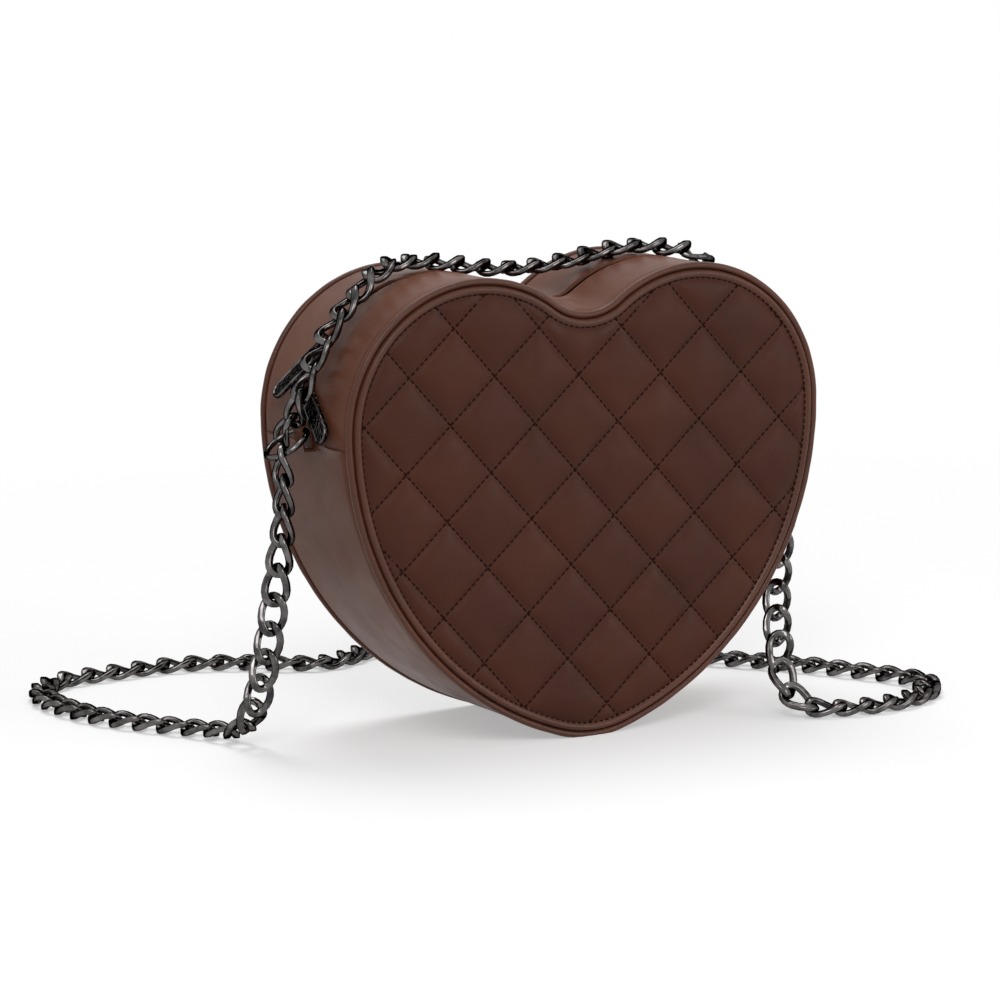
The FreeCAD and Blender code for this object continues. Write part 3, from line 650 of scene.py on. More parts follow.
@dataclass(frozen=True)
class Mottled(Finish):
    """A plain stuff with a mottled tone: spun thread, moulded resin or pressed fibre board."""

    fleck_mm: float = 0.6
    roughness: float = 0.6
    relief: float = 0.00004
    specular: float = 0.5

    def sockets(self, tree: bpy.types.NodeTree, place: bpy.types.NodeSocket) -> dict[str, object]:
        """Make flecks of two tones, which also stand a little proud.

        Args:
            tree: The material's node tree.
            place: Coordinates of the patterns.

        Returns:
            What goes into the principled shader, by socket.
        """
        fleck = add_node(
            tree, "ShaderNodeTexNoise", {"Vector": place, "Scale": per_metre(self.fleck_mm), "Detail": 2.0}
        ).outputs["Fac"]
        proud = add_node(tree, "ShaderNodeBump", {"Height": fleck, "Distance": self.relief})
        return {
            "Base Color": self.toned(tree, fleck),
            "Normal": proud.outputs["Normal"],
            "Roughness": self.roughness,
            "Specular IOR Level": self.specular,
        }


# Quilted faces: satin brown in soft clouds
PANEL_LEATHER = CoatedLeather("coated_leather_panel")
# The same leather drawn smooth over the sides, with a broad pale sheen, painted lighter for the light that falls more
# on the sides
GUSSET_LEATHER_PAINTED_LIGHTER = CoatedLeather(
    "coated_leather_gusset",
    dark="#623a2a",
    light="#704532",
    rough_low=0.34,
    rough_high=0.44,
    wrinkle_mm=14.0,
    wrinkle_height=0.00006,
    specular=0.1,
)
# Leather drawn tight round a cord, with small wrinkles, painted lighter than the faces as a highlight on the piping
# and the rolled edge
PIPING_LEATHER_PAINTED_HIGHLIGHT = CoatedLeather(
    "coated_leather_piping",
    dark="#523023",
    light="#5e3829",
    rough_low=0.3,
    rough_high=0.42,
    wrinkle_mm=2.6,
    wrinkle_height=0.00016,
    specular=0.26,
)
# Spun thread of the quilting: dark and dull
THREAD = Mottled(
    "spun_polyester_thread", dark="#200c08", light="#331810", fleck_mm=0.5, roughness=0.75, specular=0.06
)
# Paler thread beside the zip: a thin rosy line
EDGE_THREAD = Mottled(
    "spun_polyester_thread_rose", dark="#7d5045", light="#99695c", fleck_mm=0.5, roughness=0.75, specular=0.2
)
# Polished chain, rings and sliders: nearly black, with bright sharp lines
GUNMETAL = PlatedMetal("black_nickel_plate")
# Pebbled faces of the pulls: reflections broken up to sparkles
CAST_GUNMETAL = PlatedMetal("black_nickel_plate_pebbled", dark="#1c1a1a", light="#454241", knurl_mm=1.1)
# Inside of the bag: a dark dull check
LINING = Woven("woven_polyester_lining")
# Zip tape: a close dull weave
TAPE = Woven("woven_zip_tape", dark="#2a1511", light="#42241d", thread_mm=0.5)
# Moulded teeth: smooth, with a soft gloss
RESIN = Mottled("moulded_resin_teeth", dark="#2c1713", light="#38201a", fleck_mm=2.0, roughness=0.35)
# Stiffening boards: pale fibres, quite dull
BOARD = Mottled("pressed_fibre_board", dark="#6e5d49", light="#94826b", fleck_mm=1.2, roughness=0.9)


# Meshes and pieces


class Slot(Enum):
    """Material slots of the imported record."""

    LEATHER = "leather"
    ZIP_TAPE = "zip_tape"
    ZIP_TEETH = "zip_teeth"
    GUNMETAL = "gunmetal"


def new_object(name: str, data: bpy.types.ID) -> bpy.types.Object:
    """Link a new object into the scene.

    Args:
        name: The object's name.
        data: Its mesh, curve, lamp or camera.

    Returns:
        The new object.
    """
    made = bpy.data.objects.new(name, data)
    bpy.context.scene.collection.objects.link(made)
    return made


def discard(made: bpy.types.Object) -> None:
    """Remove a helper object together with its data.

    Args:
        made: The object that is no longer needed.
    """
    data = made.data
    bpy.data.objects.remove(made)
    bpy.data.batch_remove([data])


def plain_mesh(source: bpy.types.Object, name: str) -> bpy.types.Mesh:
    """Turn an object into a plain mesh, as it shows with its modifiers, and discard the object.

    Args:
        source: An object with a mesh or a curve.
        name: The new mesh's name.

    Returns:
        The new mesh.
    """
    depsgraph = bpy.context.evaluated_depsgraph_get()
    mesh = bpy.data.meshes.new_from_object(source.evaluated_get(depsgraph), depsgraph=depsgraph)
    mesh.name = name
    discard(source)
    return mesh


def mesh_object(
    name: str, points: Sequence[Vector], faces: Sequence[Sequence[int]], finish: Finish, smooth: bool = True
) -> bpy.types.Object:
    """Make a piece from points and faces.

    Args:
        name: The piece's name.
        points: Corners in metres.
        faces: Faces as rows of corner numbers.
        finish: The finish that it gets.
        smooth: Whether its faces are shaded smooth.

    Returns:
        The new object.
    """
    mesh = bpy.data.meshes.new(name)
    mesh.from_pydata([tuple(p) for p in points], [], faces)
    mesh.materials.append(finish.material)
    mesh.polygons.foreach_set("use_smooth", [smooth] * len(mesh.polygons))
    mesh.validate()
    return new_object(name, mesh)


def polylines_object(name: str, lines: Sequence[Sequence[Vector]], closed: bool = False) -> bpy.types.Object:
    """Make a bare mesh of edges only, one run of edges for each line.

    Args:
        name: The object's name.
        lines: Points of each line.
        closed: Whether each line returns to its start.

    Returns:
        The new object.
    """
    points, edges = [], []
    for line in lines:
        first = len(points)
        points += [tuple(p) for p in line]
        edges += [(i, i + 1) for i in range(first, len(points) - 1)]
        if closed:
            edges.append((len(points) - 1, first))
    mesh = bpy.data.meshes.new(name)
    mesh.from_pydata(points, edges, [])
    return new_object(name, mesh)


def grid_faces(rows: int, columns: int, wrap_rows: bool = False, wrap_columns: bool = False) -> list[tuple]:
    """List the four-cornered faces of a grid of points.

    Args:
        rows: How many rows of points there are.
        columns: How many points a row has.
        wrap_rows: Whether the last row meets the first.
        wrap_columns: Whether a row's last point meets its first.

    Returns:
        Corner numbers of each face, for points given row by row.
    """
    return [
        (
            i * columns + j,
            i * columns + (j + 1) % columns,
            (i + 1) % rows * columns + (j + 1) % columns,
            (i + 1) % rows * columns + j,
        )
        for i in range(rows if wrap_rows else rows - 1)
        for j in range(columns if wrap_columns else columns - 1)
    ]


def outwards(piece: bpy.types.Object) -> bpy.types.Object:
    """Turn the faces of a closed piece outwards, by the sign of its volume.

    Args:
        piece: The piece, with faces that agree with each other.

    Returns:
        The same piece.
    """
    mesh = piece.data
    volume = 0.0
    for face in mesh.polygons:
        corners = [mesh.vertices[i].co for i in face.vertices]
        for a, b in zip(corners[1:], corners[2:]):
            volume += corners[0].dot(a.cross(b))
    if volume < 0:
        mesh.flip_normals()
    return piece


def placed(piece: bpy.types.Object, body: str, slot: Slot, *nodes: str) -> None:
    """Let a piece ride on a body.

    Args:
        piece: The finished piece.
        body: The body that carries it.
        slot: Its material slot.
        nodes: The nodes that it stands for.
    """
    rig.ride(piece, body)
    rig.slot(piece, slot.value)
    if nodes:
        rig.replaces(piece, *nodes)
    LOG.info("%s: %d faces on %s", piece.name, len(piece.data.polygons), body)


def joint_of(body: str) -> dict:
    """The joint that moves a body, as the frame gives it."""
    return next(joint for joint in frame["joints"] if joint["child"] == body)


# Geometry Nodes


class Tree:
    """A Geometry Nodes tree with named inputs, for what repeats."""

    def __init__(self, name: str, inputs: dict[str, str]) -> None:
        """Make the tree with its geometry sockets and its own inputs.

        Args:
            name: The tree's name.
            inputs: Names of the other inputs, each with its socket type.
        """
        self.tree = bpy.data.node_groups.new(name, "GeometryNodeTree")
        face = self.tree.interface
        face.new_socket("Geometry", in_out="INPUT", socket_type="NodeSocketGeometry")
        self.identifiers = {
            key: face.new_socket(key, in_out="INPUT", socket_type=kind).identifier
            for key, kind in inputs.items()
        }
        face.new_socket("Geometry", in_out="OUTPUT", socket_type="NodeSocketGeometry")
        self.inputs = self.add("NodeGroupInput").outputs

    def add(self, kind: str, inputs: dict | None = None, **settings) -> bpy.types.Node:
        """Add a node to the tree."""
        return add_node(self.tree, kind, inputs, **settings)

    def close(self, instances: bpy.types.NodeSocket) -> None:
        """Realize the instances, shade them smooth, set the material and end the tree.

        Args:
            instances: The instances to end with.
        """
        real = self.add("GeometryNodeRealizeInstances", {"Geometry": instances})
        smooth = self.add("GeometryNodeSetShadeSmooth", {"Geometry": real.outputs[0]})
        dressed = self.add(
            "GeometryNodeSetMaterial", {"Geometry": smooth.outputs[0], "Material": self.inputs["Material"]}
        )
        self.add("NodeGroupOutput", {"Geometry": dressed.outputs[0]})

    def run(self, carrier: bpy.types.Object, name: str, values: dict) -> bpy.types.Object:
        """Apply the tree to a carrier and keep the result as a plain mesh.

        Args:
            carrier: The object with the path or the places, removed afterwards.
            name: Name of the resulting piece.
            values: Values of the tree's inputs by name.

        Returns:
            The new object.
        """
        modifier = carrier.modifiers.new(self.tree.name, "NODES")
        modifier.node_group = self.tree
        for key, value in values.items():
            modifier[self.identifiers[key]] = value
        return new_object(name, plain_mesh(carrier, name))


class Beads(Tree):
    """Beads along lines, one every pitch, each turned along its line: stitches or zip teeth."""

    def __init__(self, name: str, segments: int, rings: int, radius: float) -> None:
        """Build the tree.

        Args:
            name: The tree's name.
            segments: Faces round a bead.
            rings: Faces along a bead.
            radius: A bead's radius before it is stretched to its size.
        """
        super().__init__(
            name,
            {"Pitch": "NodeSocketFloat", "Bead Size": "NodeSocketVector", "Material": "NodeSocketMaterial"},
        )
        line = self.add("GeometryNodeMeshToCurve", {"Mesh": self.inputs["Geometry"]})
        places = self.add(
            "GeometryNodeCurveToPoints",
            {"Curve": line.outputs[0], "Length": self.inputs["Pitch"]},
            mode="LENGTH",
        )
        bead = self.add("GeometryNodeMeshUVSphere", {"Segments": segments, "Rings": rings, "Radius": radius})
        beads = self.add(
            "GeometryNodeInstanceOnPoints",
            {
                "Points": places.outputs["Points"],
                "Instance": bead.outputs["Mesh"],
                "Rotation": places.outputs["Rotation"],
                "Scale": self.inputs["Bead Size"],
            },
        )
        self.close(beads.outputs[0])

    def along(
        self,
        name: str,
        lines: Sequence[Sequence[Vector]],
        pitch: float,
        size: tuple[float, float, float],
        finish: Finish,
    ) -> bpy.types.Object:
        """Set beads along lines, as one piece.

        Args:
            name: The piece's name.
            lines: Points of each line.
            pitch: Run from bead to bead.
            size: A bead's size, with its length along the line last.
            finish: The beads' finish.

        Returns:
            The new object.
        """
        carrier = polylines_object(f"{name}_lines", lines)
        return self.run(carrier, name, {"Pitch": pitch, "Bead Size": size, "Material": finish.material})


class ChainLinks(Tree):
    """Chain links of pressed wire, each turned by its place's along and facing ways.

    The shares give the wire's breadth, thickness and rounded corners by its diameter.
    """

    broad_share = 1.12
    thick_share = 0.9
    corner_share = 0.24

    def __init__(self) -> None:
        """Build the tree."""
        super().__init__(
            "chain_run",
            {
                "Link Line": "NodeSocketObject",
                "Wire Diameter": "NodeSocketFloat",
                "Material": "NodeSocketMaterial",
            },
        )
        line = self.add("GeometryNodeObjectInfo", {"Object": self.inputs["Link Line"]})
        curve = self.add("GeometryNodeMeshToCurve", {"Mesh": line.outputs["Geometry"]})
        upright = self.add("GeometryNodeSetCurveNormal", {"Curve": curve.outputs[0]}, mode="Z_UP")
        wide = self.inputs["Wire Diameter"]
        broad, thick, corner = (
            self.add("ShaderNodeMath", {0: wide, 1: share}, operation="MULTIPLY").outputs[0]
            for share in (self.broad_share, self.thick_share, self.corner_share)
        )
        bar = self.add("GeometryNodeCurvePrimitiveQuadrilateral", {"Width": broad, "Height": thick})
        section = self.add(
            "GeometryNodeFilletCurve", {"Curve": bar.outputs[0], "Radius": corner, "Count": 2}, mode="POLY"
        )
        wire = self.add(
            "GeometryNodeCurveToMesh", {"Curve": upright.outputs[0], "Profile Curve": section.outputs[0]}
        )
        facing, along = (
            self.add("GeometryNodeInputNamedAttribute", {"Name": key}, data_type="FLOAT_VECTOR").outputs[0]
            for key in ("facing", "along")
        )
        turned = self.add(
            "FunctionNodeAxesToRotation",
            {"Primary Axis": facing, "Secondary Axis": along},
            primary_axis="Z",
            secondary_axis="X",
        )
        links = self.add(
            "GeometryNodeInstanceOnPoints",
            {
                "Points": self.inputs["Geometry"],
                "Instance": wire.outputs[0],
                "Rotation": turned.outputs[0],
            },
        )
        self.close(links.outputs[0])


# Quilted panels


@dataclass(frozen=True)
class Quilt:
    """The diamond quilting's lattice on a panel."""

    half_wide: float = 0.01757
    half_high: float = 0.01763
    shift_x: float = -0.01242
    top: float = 0.15402
    turn: float = math.radians(-3.37)
    drop: float = 0.0008
    first_line: int = -9
    last_line: int = 10

    @property
    def cell(self) -> float:
        """Length of a diamond's side."""
        return math.hypot(self.half_wide, self.half_high)

    def lines_at(self, x: float, z: float) -> tuple[float, float]:
        """Find the lattice numbers of a point.

        Args:
            x: The point's place to the right.
            z: The point's height.

        Returns:
            Two numbers, each whole on the sewn lines of one of the two ways.
        """
        z += self.drop
        flat_x = x * math.cos(self.turn) + z * math.sin(self.turn)
        flat_z = z * math.cos(self.turn) - x * math.sin(self.turn)
        u = (flat_x - self.shift_x) / self.half_wide
        v = (self.top - flat_z) / self.half_high
        return (u + v - 1) / 2, (u - v - 1) / 2

    def place(self, p: float, q: float) -> tuple[float, float]:
        """Find the point with two lattice numbers.

        Args:
            p: Number of a sewn line of the one way.
            q: Number of a sewn line of the other way.

        Returns:
            The point's place to the right and its height.
        """
        u, v = p + q + 1, p - q
        flat_x = u * self.half_wide + self.shift_x
        flat_z = self.top - v * self.half_high
        x = flat_x * math.cos(self.turn) - flat_z * math.sin(self.turn)
        return x, flat_x * math.sin(self.turn) + flat_z * math.cos(self.turn) - self.drop


@dataclass
class QuiltedPanel:
    """A quilted face of the bag: leather over foam, sewn in diamonds, with a rolled edge."""

    name: str
    side: int
    quilt: Quilt
    stitches: Beads
    valley: float = 0.0359
    puff: float = 0.0016
    crown: float = 0.0007
    crown_slope: float = 3.0
    crease: float = 0.0016
    slack: float = 0.00025
    slack_scale: float = 60.0
    slack_seed: float = 0.05
    slack_reach: float = 0.004
    edge_inset: float = 0.0027
    roll_inset: float = 0.0039
    topstitch_inset: float = 0.0058
    roll_height: float = 0.0013
    groove_depth: float = 0.0016
    lowest: float = 0.0005
    grid_share: float = 1 / 20
    ring_step: float = 0.0013
    ring_shares: tuple[float, ...] = (0.0, 0.1, 0.25, 0.45, 0.65, 0.85, 1.0, 1.25, 1.55)
    ring_gap_share: float = 0.3
    merge: float = 1e-7
    line_steps: int = 30
    line_gap: float = 0.0004
    topstitch_step: float = 0.002
    stitch_pitch: float = 0.0024
    stitch_length: float = 0.0019
    thread: float = 0.0008
    sewn_share: float = 0.2
    topstitch_share: float = 0.3

    def relief(self, x: float, z: float) -> float:
        """Measure how far the leather stands out at a point of the panel.

        Args:
            x: The point's place to the right.
            z: The point's height.

        Returns:
            The leather's distance from the bag's middle plane.
        """
        inset = HEART.inset(x, z)
        lines = self.quilt.lines_at(self.side * -x, z)
        beside = max(inset - self.topstitch_inset, 0)
        pillow = self.puff * (1 - math.exp(-beside / self.crease))
        dome = self.crown * min(1, beside / self.quilt.cell * self.crown_slope)
        for value in lines:
            gap = abs(value - round(value)) * self.quilt.cell
            pillow *= 1 - math.exp(-gap / self.crease)
            dome *= math.cos(math.pi * (value - math.floor(value) - 0.5))
        slack = self.slack * noise(Vector((x, self.side * self.slack_seed, z)) * self.slack_scale)
        slack *= min(1, beside / self.slack_reach)
        roll = 0.0
        if inset < self.topstitch_inset:
            share = (inset - self.roll_inset) / (self.topstitch_inset - self.roll_inset)
            roll = self.roll_height * math.sqrt(max(0, 1 - share * share))
        groove = max(0, self.roll_inset - inset) / (self.roll_inset - self.edge_inset)
        return self.valley + pillow + dome + slack + roll - self.groove_depth * groove**2

    def surface(self, x: float, z: float, proud: float = 0.0) -> Vector:
        """The point of the leather at (x, z), with something added on top of it."""
        return Vector((x, self.side * (self.relief(x, z) + proud), max(z, self.lowest)))

    def flat_points(self) -> tuple[list[Vector], int]:
        """Lay out the panel's points before it is raised.

        Returns:
            The points with the edge's ring first, and how many that ring has.
        """
        depth = self.topstitch_inset - self.edge_inset
        flat: list[Vector] = []
        stations = HEART.loop(self.ring_step)
        for share in self.ring_shares:
            inset = self.edge_inset + share * depth
            flat += [Vector((s.x - inset * s.nx, s.z - inset * s.nz)) for s in stations]
        inner = self.edge_inset + (self.ring_shares[-1] + self.ring_gap_share) * depth
        steps = round(1 / self.grid_share)
        span = range(self.quilt.first_line * steps, self.quilt.last_line * steps + 1)
        for i in span:
            for j in span:
                x, z = self.quilt.place(i * self.grid_share, j * self.grid_share)
                x *= -self.side
                if HEART.holds(x, z, inner):
                    flat.append(Vector((x, z)))
        return flat, len(stations)

    def build_leather(self) -> bpy.types.Object:
        """Make the quilted leather with its foam, closed at the back where the stiff board lies.

        Returns:
            The panel, with a finish of its own on the rolled edge.
        """
        flat, ring = self.flat_points()
        edges = [(i, (i + 1) % ring) for i in range(ring)]
        points, _, faces, *_ = delaunay_2d_cdt(flat, edges, [], 1, self.merge)
        raised = [self.surface(p.x, p.y) for p in points]
        lo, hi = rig.box(f"{self.name}_padding")
        back = (hi if self.side < 0 else lo).y
        count = len(raised)
        raised += [Vector((raised[i].x, back, raised[i].z)) for i in range(ring)]
        faces = [tuple(f) for f in faces]
        faces += [(i, (i + 1) % ring, count + (i + 1) % ring, count + i) for i in range(ring)]
        faces.append(tuple(count + i for i in reversed(range(ring))))
        leather = mesh_object(f"{self.name}_quilted_panel", raised, faces, PANEL_LEATHER)
        # The rolled edge takes the piping's leather, painted lighter as a highlight on the ridge
        leather.data.materials.append(PIPING_LEATHER_PAINTED_HIGHLIGHT.material)
        rolled = ring * (self.ring_shares.index(1.0) + 1)
        for face in leather.data.polygons:
            face.material_index = int(max(face.vertices) < rolled)
        return leather

    def sewn_lines(self) -> Iterator[list[Vector]]:
        """Draw the quilting's sewn lines on the leather.

        Yields:
            The points of each line, cut off at the rolled edge.
        """
        steps = self.line_steps
        inset = self.topstitch_inset + self.line_gap
        span = range(self.quilt.first_line * steps, self.quilt.last_line * steps + 1)
        for whole in range(self.quilt.first_line, self.quilt.last_line + 1):
            for way in (0, 1):
                line: list[Vector] = []
                for i in span:
                    pair = (whole, i / steps) if way else (i / steps, whole)
                    x, z = self.quilt.place(*pair)
                    x *= -self.side
                    if HEART.holds(x, z, inset):
                        line.append(self.surface(x, z, self.thread * self.sewn_share))
                if len(line) > 2:
                    yield line

    def build_stitches(self) -> bpy.types.Object:
        """Make the quilting's stitches and the row round the edge.

        Returns:
            All of them as one piece.
        """
        lines = list(self.sewn_lines())
        rim = []
        for s in HEART.loop(self.topstitch_step):
            p = s.at(self.topstitch_inset, 0)
            rim.append(self.surface(p.x, p.z, self.thread * self.topstitch_share))
        lines.append(rim + rim[:1])
        size = (self.thread, self.thread, self.stitch_length)
        return self.stitches.along(f"{self.name}_stitches", lines, self.stitch_pitch, size, THREAD)

    def build(self) -> None:
        """Build the panel and its stitches, and set them on the bag."""
        leather = outwards(self.build_leather())
        placed(leather, BAG, Slot.LEATHER, f"{self.name}_panel", f"{self.name}_padding")
        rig.padded(leather, fill=0.7)
        placed(self.build_stitches(), BAG, Slot.LEATHER)


# Piping and gussets


@dataclass
class Piping:
    """The round leather edging between a face and the gusset."""

    name: str
    side: int
    depth: float = 0.035
    diameter: float = 0.0026
    step: float = 0.0018
    sides: int = 14
    unevenness: float = 0.00012
    unevenness_scale: float = 140.0

    def build(self) -> None:
        """Sweep the cord round the heart, pressed flat where the bag stands."""
        stations = HEART.loop(self.step)
        points = []
        for s in stations:
            wobble = self.unevenness * noise(Vector((s.x, self.side, s.z)) * self.unevenness_scale)
            radius = self.diameter / 2 + wobble
            for j in range(self.sides):
                turn = 2 * math.pi * j / self.sides
                inset = self.diameter / 2 - radius * math.cos(turn)
                p = s.at(inset, self.side * (self.depth + radius * math.sin(turn)))
                points.append(Vector((p.x, p.y, max(p.z, 0.0))))
        faces = grid_faces(len(stations), self.sides, True, True)
        piping = outwards(mesh_object(f"{self.name}_piping_cord", points, faces, PIPING_LEATHER_PAINTED_HIGHLIGHT))
        placed(piping, BAG, Slot.LEATHER, f"{self.name}_piping")


@dataclass
class Band:
    """A strip of leather or tape along the outline: a profile across it, carried along a run.

    Its ripple is slack in the leather, its notch bulge stands up over the heart's notch, and its seam lift is
    the puckered fold at both ends, which keeps clear of the rings.
    """

    name: str
    start: float
    end: float
    profile: tuple[tuple[float, float], ...]
    step: float = 0.0016
    profile_step: float = 0.0022
    free_half: float = 0.0336
    ripple: float = 0.00016
    ripple_along: float = 45.0
    ripple_across: float = 38.0
    notch_bulge: float = 0.0
    notch_reach: float = 0.007
    seam_lift: float = 0.0
    seam_reach: float = 0.0022
    pucker: float = 0.75
    pucker_wave: float = 0.0052
    pucker_phase: float = 1.3
    pucker_scale: float = 90.0
    pucker_seed: float = 0.3
    ring_depth: float = -0.0047
    ring_room: float = 0.0105

    def rise(self, run: float, y: float) -> float:
        """Measure how far the strip leaves its plain place.

        Args:
            run: Run along the outline.
            y: Depth across the strip.

        Returns:
            Its rise outwards there.
        """
        s = HEART.station(run)
        free = max(0.0, 1 - (y / self.free_half) ** 4)
        place = Vector((s.x * self.ripple_along, y * self.ripple_across, s.z * self.ripple_along))
        up = self.ripple * noise(place) * free
        from_notch = min(run % HEART.length, HEART.length - run % HEART.length)
        up += self.notch_bulge * math.exp(-((from_notch / self.notch_reach) ** 2)) * free
        to_end = min(run - self.start, self.end - run)
        wave = math.sin(y / self.pucker_wave + math.copysign(self.pucker_phase, s.x))
        folds = 1 + self.pucker * wave * noise(Vector((y * self.pucker_scale, s.x, self.pucker_seed)))
        clear = min(1.0, max(0.0, (abs(y - self.ring_depth) - self.ring_room) / self.ring_room))
        up += self.seam_lift * math.exp(-to_end / self.seam_reach) * folds * free * clear
        return up

    def profile_points(self) -> list[tuple[float, float]]:
        """Divide each side of the profile.

        Returns:
            Depth and inset of each point, once round.
        """
        made = []
        for (y0, i0), (y1, i1) in zip(self.profile, self.profile[1:] + self.profile[:1]):
            count = max(1, round(abs(y1 - y0) / self.profile_step))
            made += [(y0 + (y1 - y0) * k / count, i0 + (i1 - i0) * k / count) for k in range(count)]
        return made

    def build(self, finish: Finish) -> bpy.types.Object:
        """Carry the profile along the outline and close both ends.

        Args:
            finish: The strip's finish.

        Returns:
            The closed strip.
        """
        section = self.profile_points()
        rows = max(2, round((self.end - self.start) / self.step))
        points = []
        for i in range(rows + 1):
            run = self.start + (self.end - self.start) * i / rows
            s = HEART.station(run)
            for y, inset in section:
                p = s.at(inset - self.rise(run, y), y)
                points.append(Vector((p.x, p.y, max(p.z, 0.0))))
        count = len(section)
        faces = grid_faces(rows + 1, count, False, True)
        faces.append(tuple(range(count)))
        faces.append(tuple(rows * count + k for k in reversed(range(count))))
        return outwards(mesh_object(self.name, points, faces, finish))


@dataclass
class Gussets:
    """The strip round the bag: the lower gusset, and the two zip strips over the top.

    Each strip dips at its outer edges, under the piping. A zip strip is rolled over at its zip edge, with
    a crest, a lip and a hem, and has a row of stitches along it.
    """

    stitches: Beads
    half: float = 0.0337
    outer: float = 0.0007
    wall: float = 0.0012
    dip: float = 0.0012
    dip_start: float = 0.0024
    dip_bend: float = 0.0008
    dip_bend_share: float = 0.35
    zip_edge: float = 0.0014
    roll_start: float = 0.0024
    crest: float = 0.0012
    crest_height: float = 0.00008
    lip: float = 0.0004
    lip_drop: float = 0.0005
    hem: float = 0.0003
    hem_drop: float = 0.0001
    overlap: float = 0.0012
    seam_lift: float = 0.0017
    strip_ripple: float = 0.00006
    notch_bulge: float = 0.0036
    row_from_edge: float = 0.0013
    row_end: float = 0.003
    row_step: float = 0.002
    stitch_pitch: float = 0.0026
    stitch_length: float = 0.0021
    thread: float = 0.0004
    thread_sunk: float = 0.00005

    def lower_profile(self) -> tuple[tuple[float, float], ...]:
        """Draw the lower gusset's section.

        Returns:
            Depth and inset of each corner, once round.
        """
        h, o, d = self.half, self.outer, self.dip
        flat, bend = h - self.dip_start, h - self.dip_bend
        bend_dip = o + d * self.dip_bend_share
        inner = o + self.wall
        return (
            (-h, o + d), (-bend, bend_dip), (-flat, o), (flat, o), (bend, bend_dip), (h, o + d),
            (h, inner + d), (flat, inner), (-flat, inner), (-h, inner + d),
        )

    def strip_profile(self, side: int) -> tuple[tuple[float, float], ...]:
        """Draw a zip strip's section.

        Args:
            side: The face that the strip is sewn to.

        Returns:
            Depth and inset of each corner, once round.
        """
        h, o, d, e = self.half, self.outer, self.dip, self.zip_edge
        flat, inner = h - self.dip_start, o + self.wall
        rows = (
            (h, o + d), (h - self.dip_bend, o + d * self.dip_bend_share), (flat, o),
            (e + self.roll_start, o), (e + self.crest, o - self.crest_height),
            (e + self.lip, o + self.crest_height), (e, o + self.lip_drop),
            (e + self.hem, inner), (e + self.crest, inner + self.hem_drop), (flat, inner), (h, inner + d),
        )
        return tuple((side * y, inset) for y, inset in rows)

    def stitch_line(self, strip: Band, side: int) -> list[Vector]:
        """Draw the row of stitches along a strip's zip edge.

        Args:
            strip: The zip strip.
            side: The face that the strip is sewn to.

        Returns:
            Points of the row.
        """
        y = side * (self.zip_edge + self.row_from_edge)
        whole = strip.end - strip.start
        count = round(whole / self.row_step)
        line = []
        for i in range(count + 1):
            run = strip.start + self.row_end + (whole - 2 * self.row_end) * i / count
            line.append(HEART.station(run).at(self.outer - strip.rise(run, y) + self.thread_sunk, y))
        return line

    def build(self) -> None:
        """Build the strips, their edge stitches, and set them on the bag."""
        seam = HEART.seam_run
        lower = Band(
            "lower_gusset_strip",
            seam - self.overlap,
            HEART.length - seam + self.overlap,
            self.lower_profile(),
            seam_lift=self.seam_lift,
        )
        placed(lower.build(GUSSET_LEATHER_PAINTED_LIGHTER), BAG, Slot.LEATHER, "lower_gusset")
        size = (self.thread, self.thread, self.stitch_length)
        for word, side in FACES:
            strip = Band(
                f"zip_strip_{word}",
                -seam,
                seam,
                self.strip_profile(side),
                ripple=self.strip_ripple,
                notch_bulge=self.notch_bulge,
            )
            placed(strip.build(GUSSET_LEATHER_PAINTED_LIGHTER), BAG, Slot.LEATHER, f"zip_gusset_{word}")
            lines = [self.stitch_line(strip, side)]
            row = self.stitches.along(
                f"zip_strip_stitches_{word}", lines, self.stitch_pitch, size, EDGE_THREAD
            )
            placed(row, BAG, Slot.LEATHER)


@dataclass
class Zip:
    """The zip's tapes and teeth under the strips' folded edges."""

    teeth: Beads
    inset: float = 0.0033
    tape: float = 0.0006
    tape_start: float = 0.0029
    tape_end: float = 0.013
    tooth_middle: float = 0.0017
    tooth_half: float = 0.0007
    tooth_size: tuple[float, float, float] = (0.0014, 0.0024, 0.0012)
    pitch: float = 0.0024
    row_end: float = 0.004
    row_step: float = 0.0012

    def build(self) -> None:
        """Build a tape and a row of teeth on each side."""
        seam = HEART.seam_run
        outer, inner = self.inset, self.inset + self.tape
        middle, reach = self.inset + self.tooth_half, seam - self.row_end
        for word, side in FACES:
            start, end = side * self.tape_start, side * self.tape_end
            profile = ((end, outer), (start, outer), (start, inner), (end, inner))
            tape = Band(f"zip_tape_band_{word}", -seam, seam, profile, ripple=0.0)
            placed(tape.build(TAPE), BAG, Slot.ZIP_TAPE, f"zip_tape_{word}")
            stations = HEART.stations(-reach, reach, self.row_step)
            line = [s.at(middle, side * self.tooth_middle) for s in stations]
            row = self.teeth.along(f"zip_teeth_row_{word}", [line], self.pitch, self.tooth_size, RESIN)
            placed(row, BAG, Slot.ZIP_TEETH, f"zip_teeth_{word}")


# Hardware


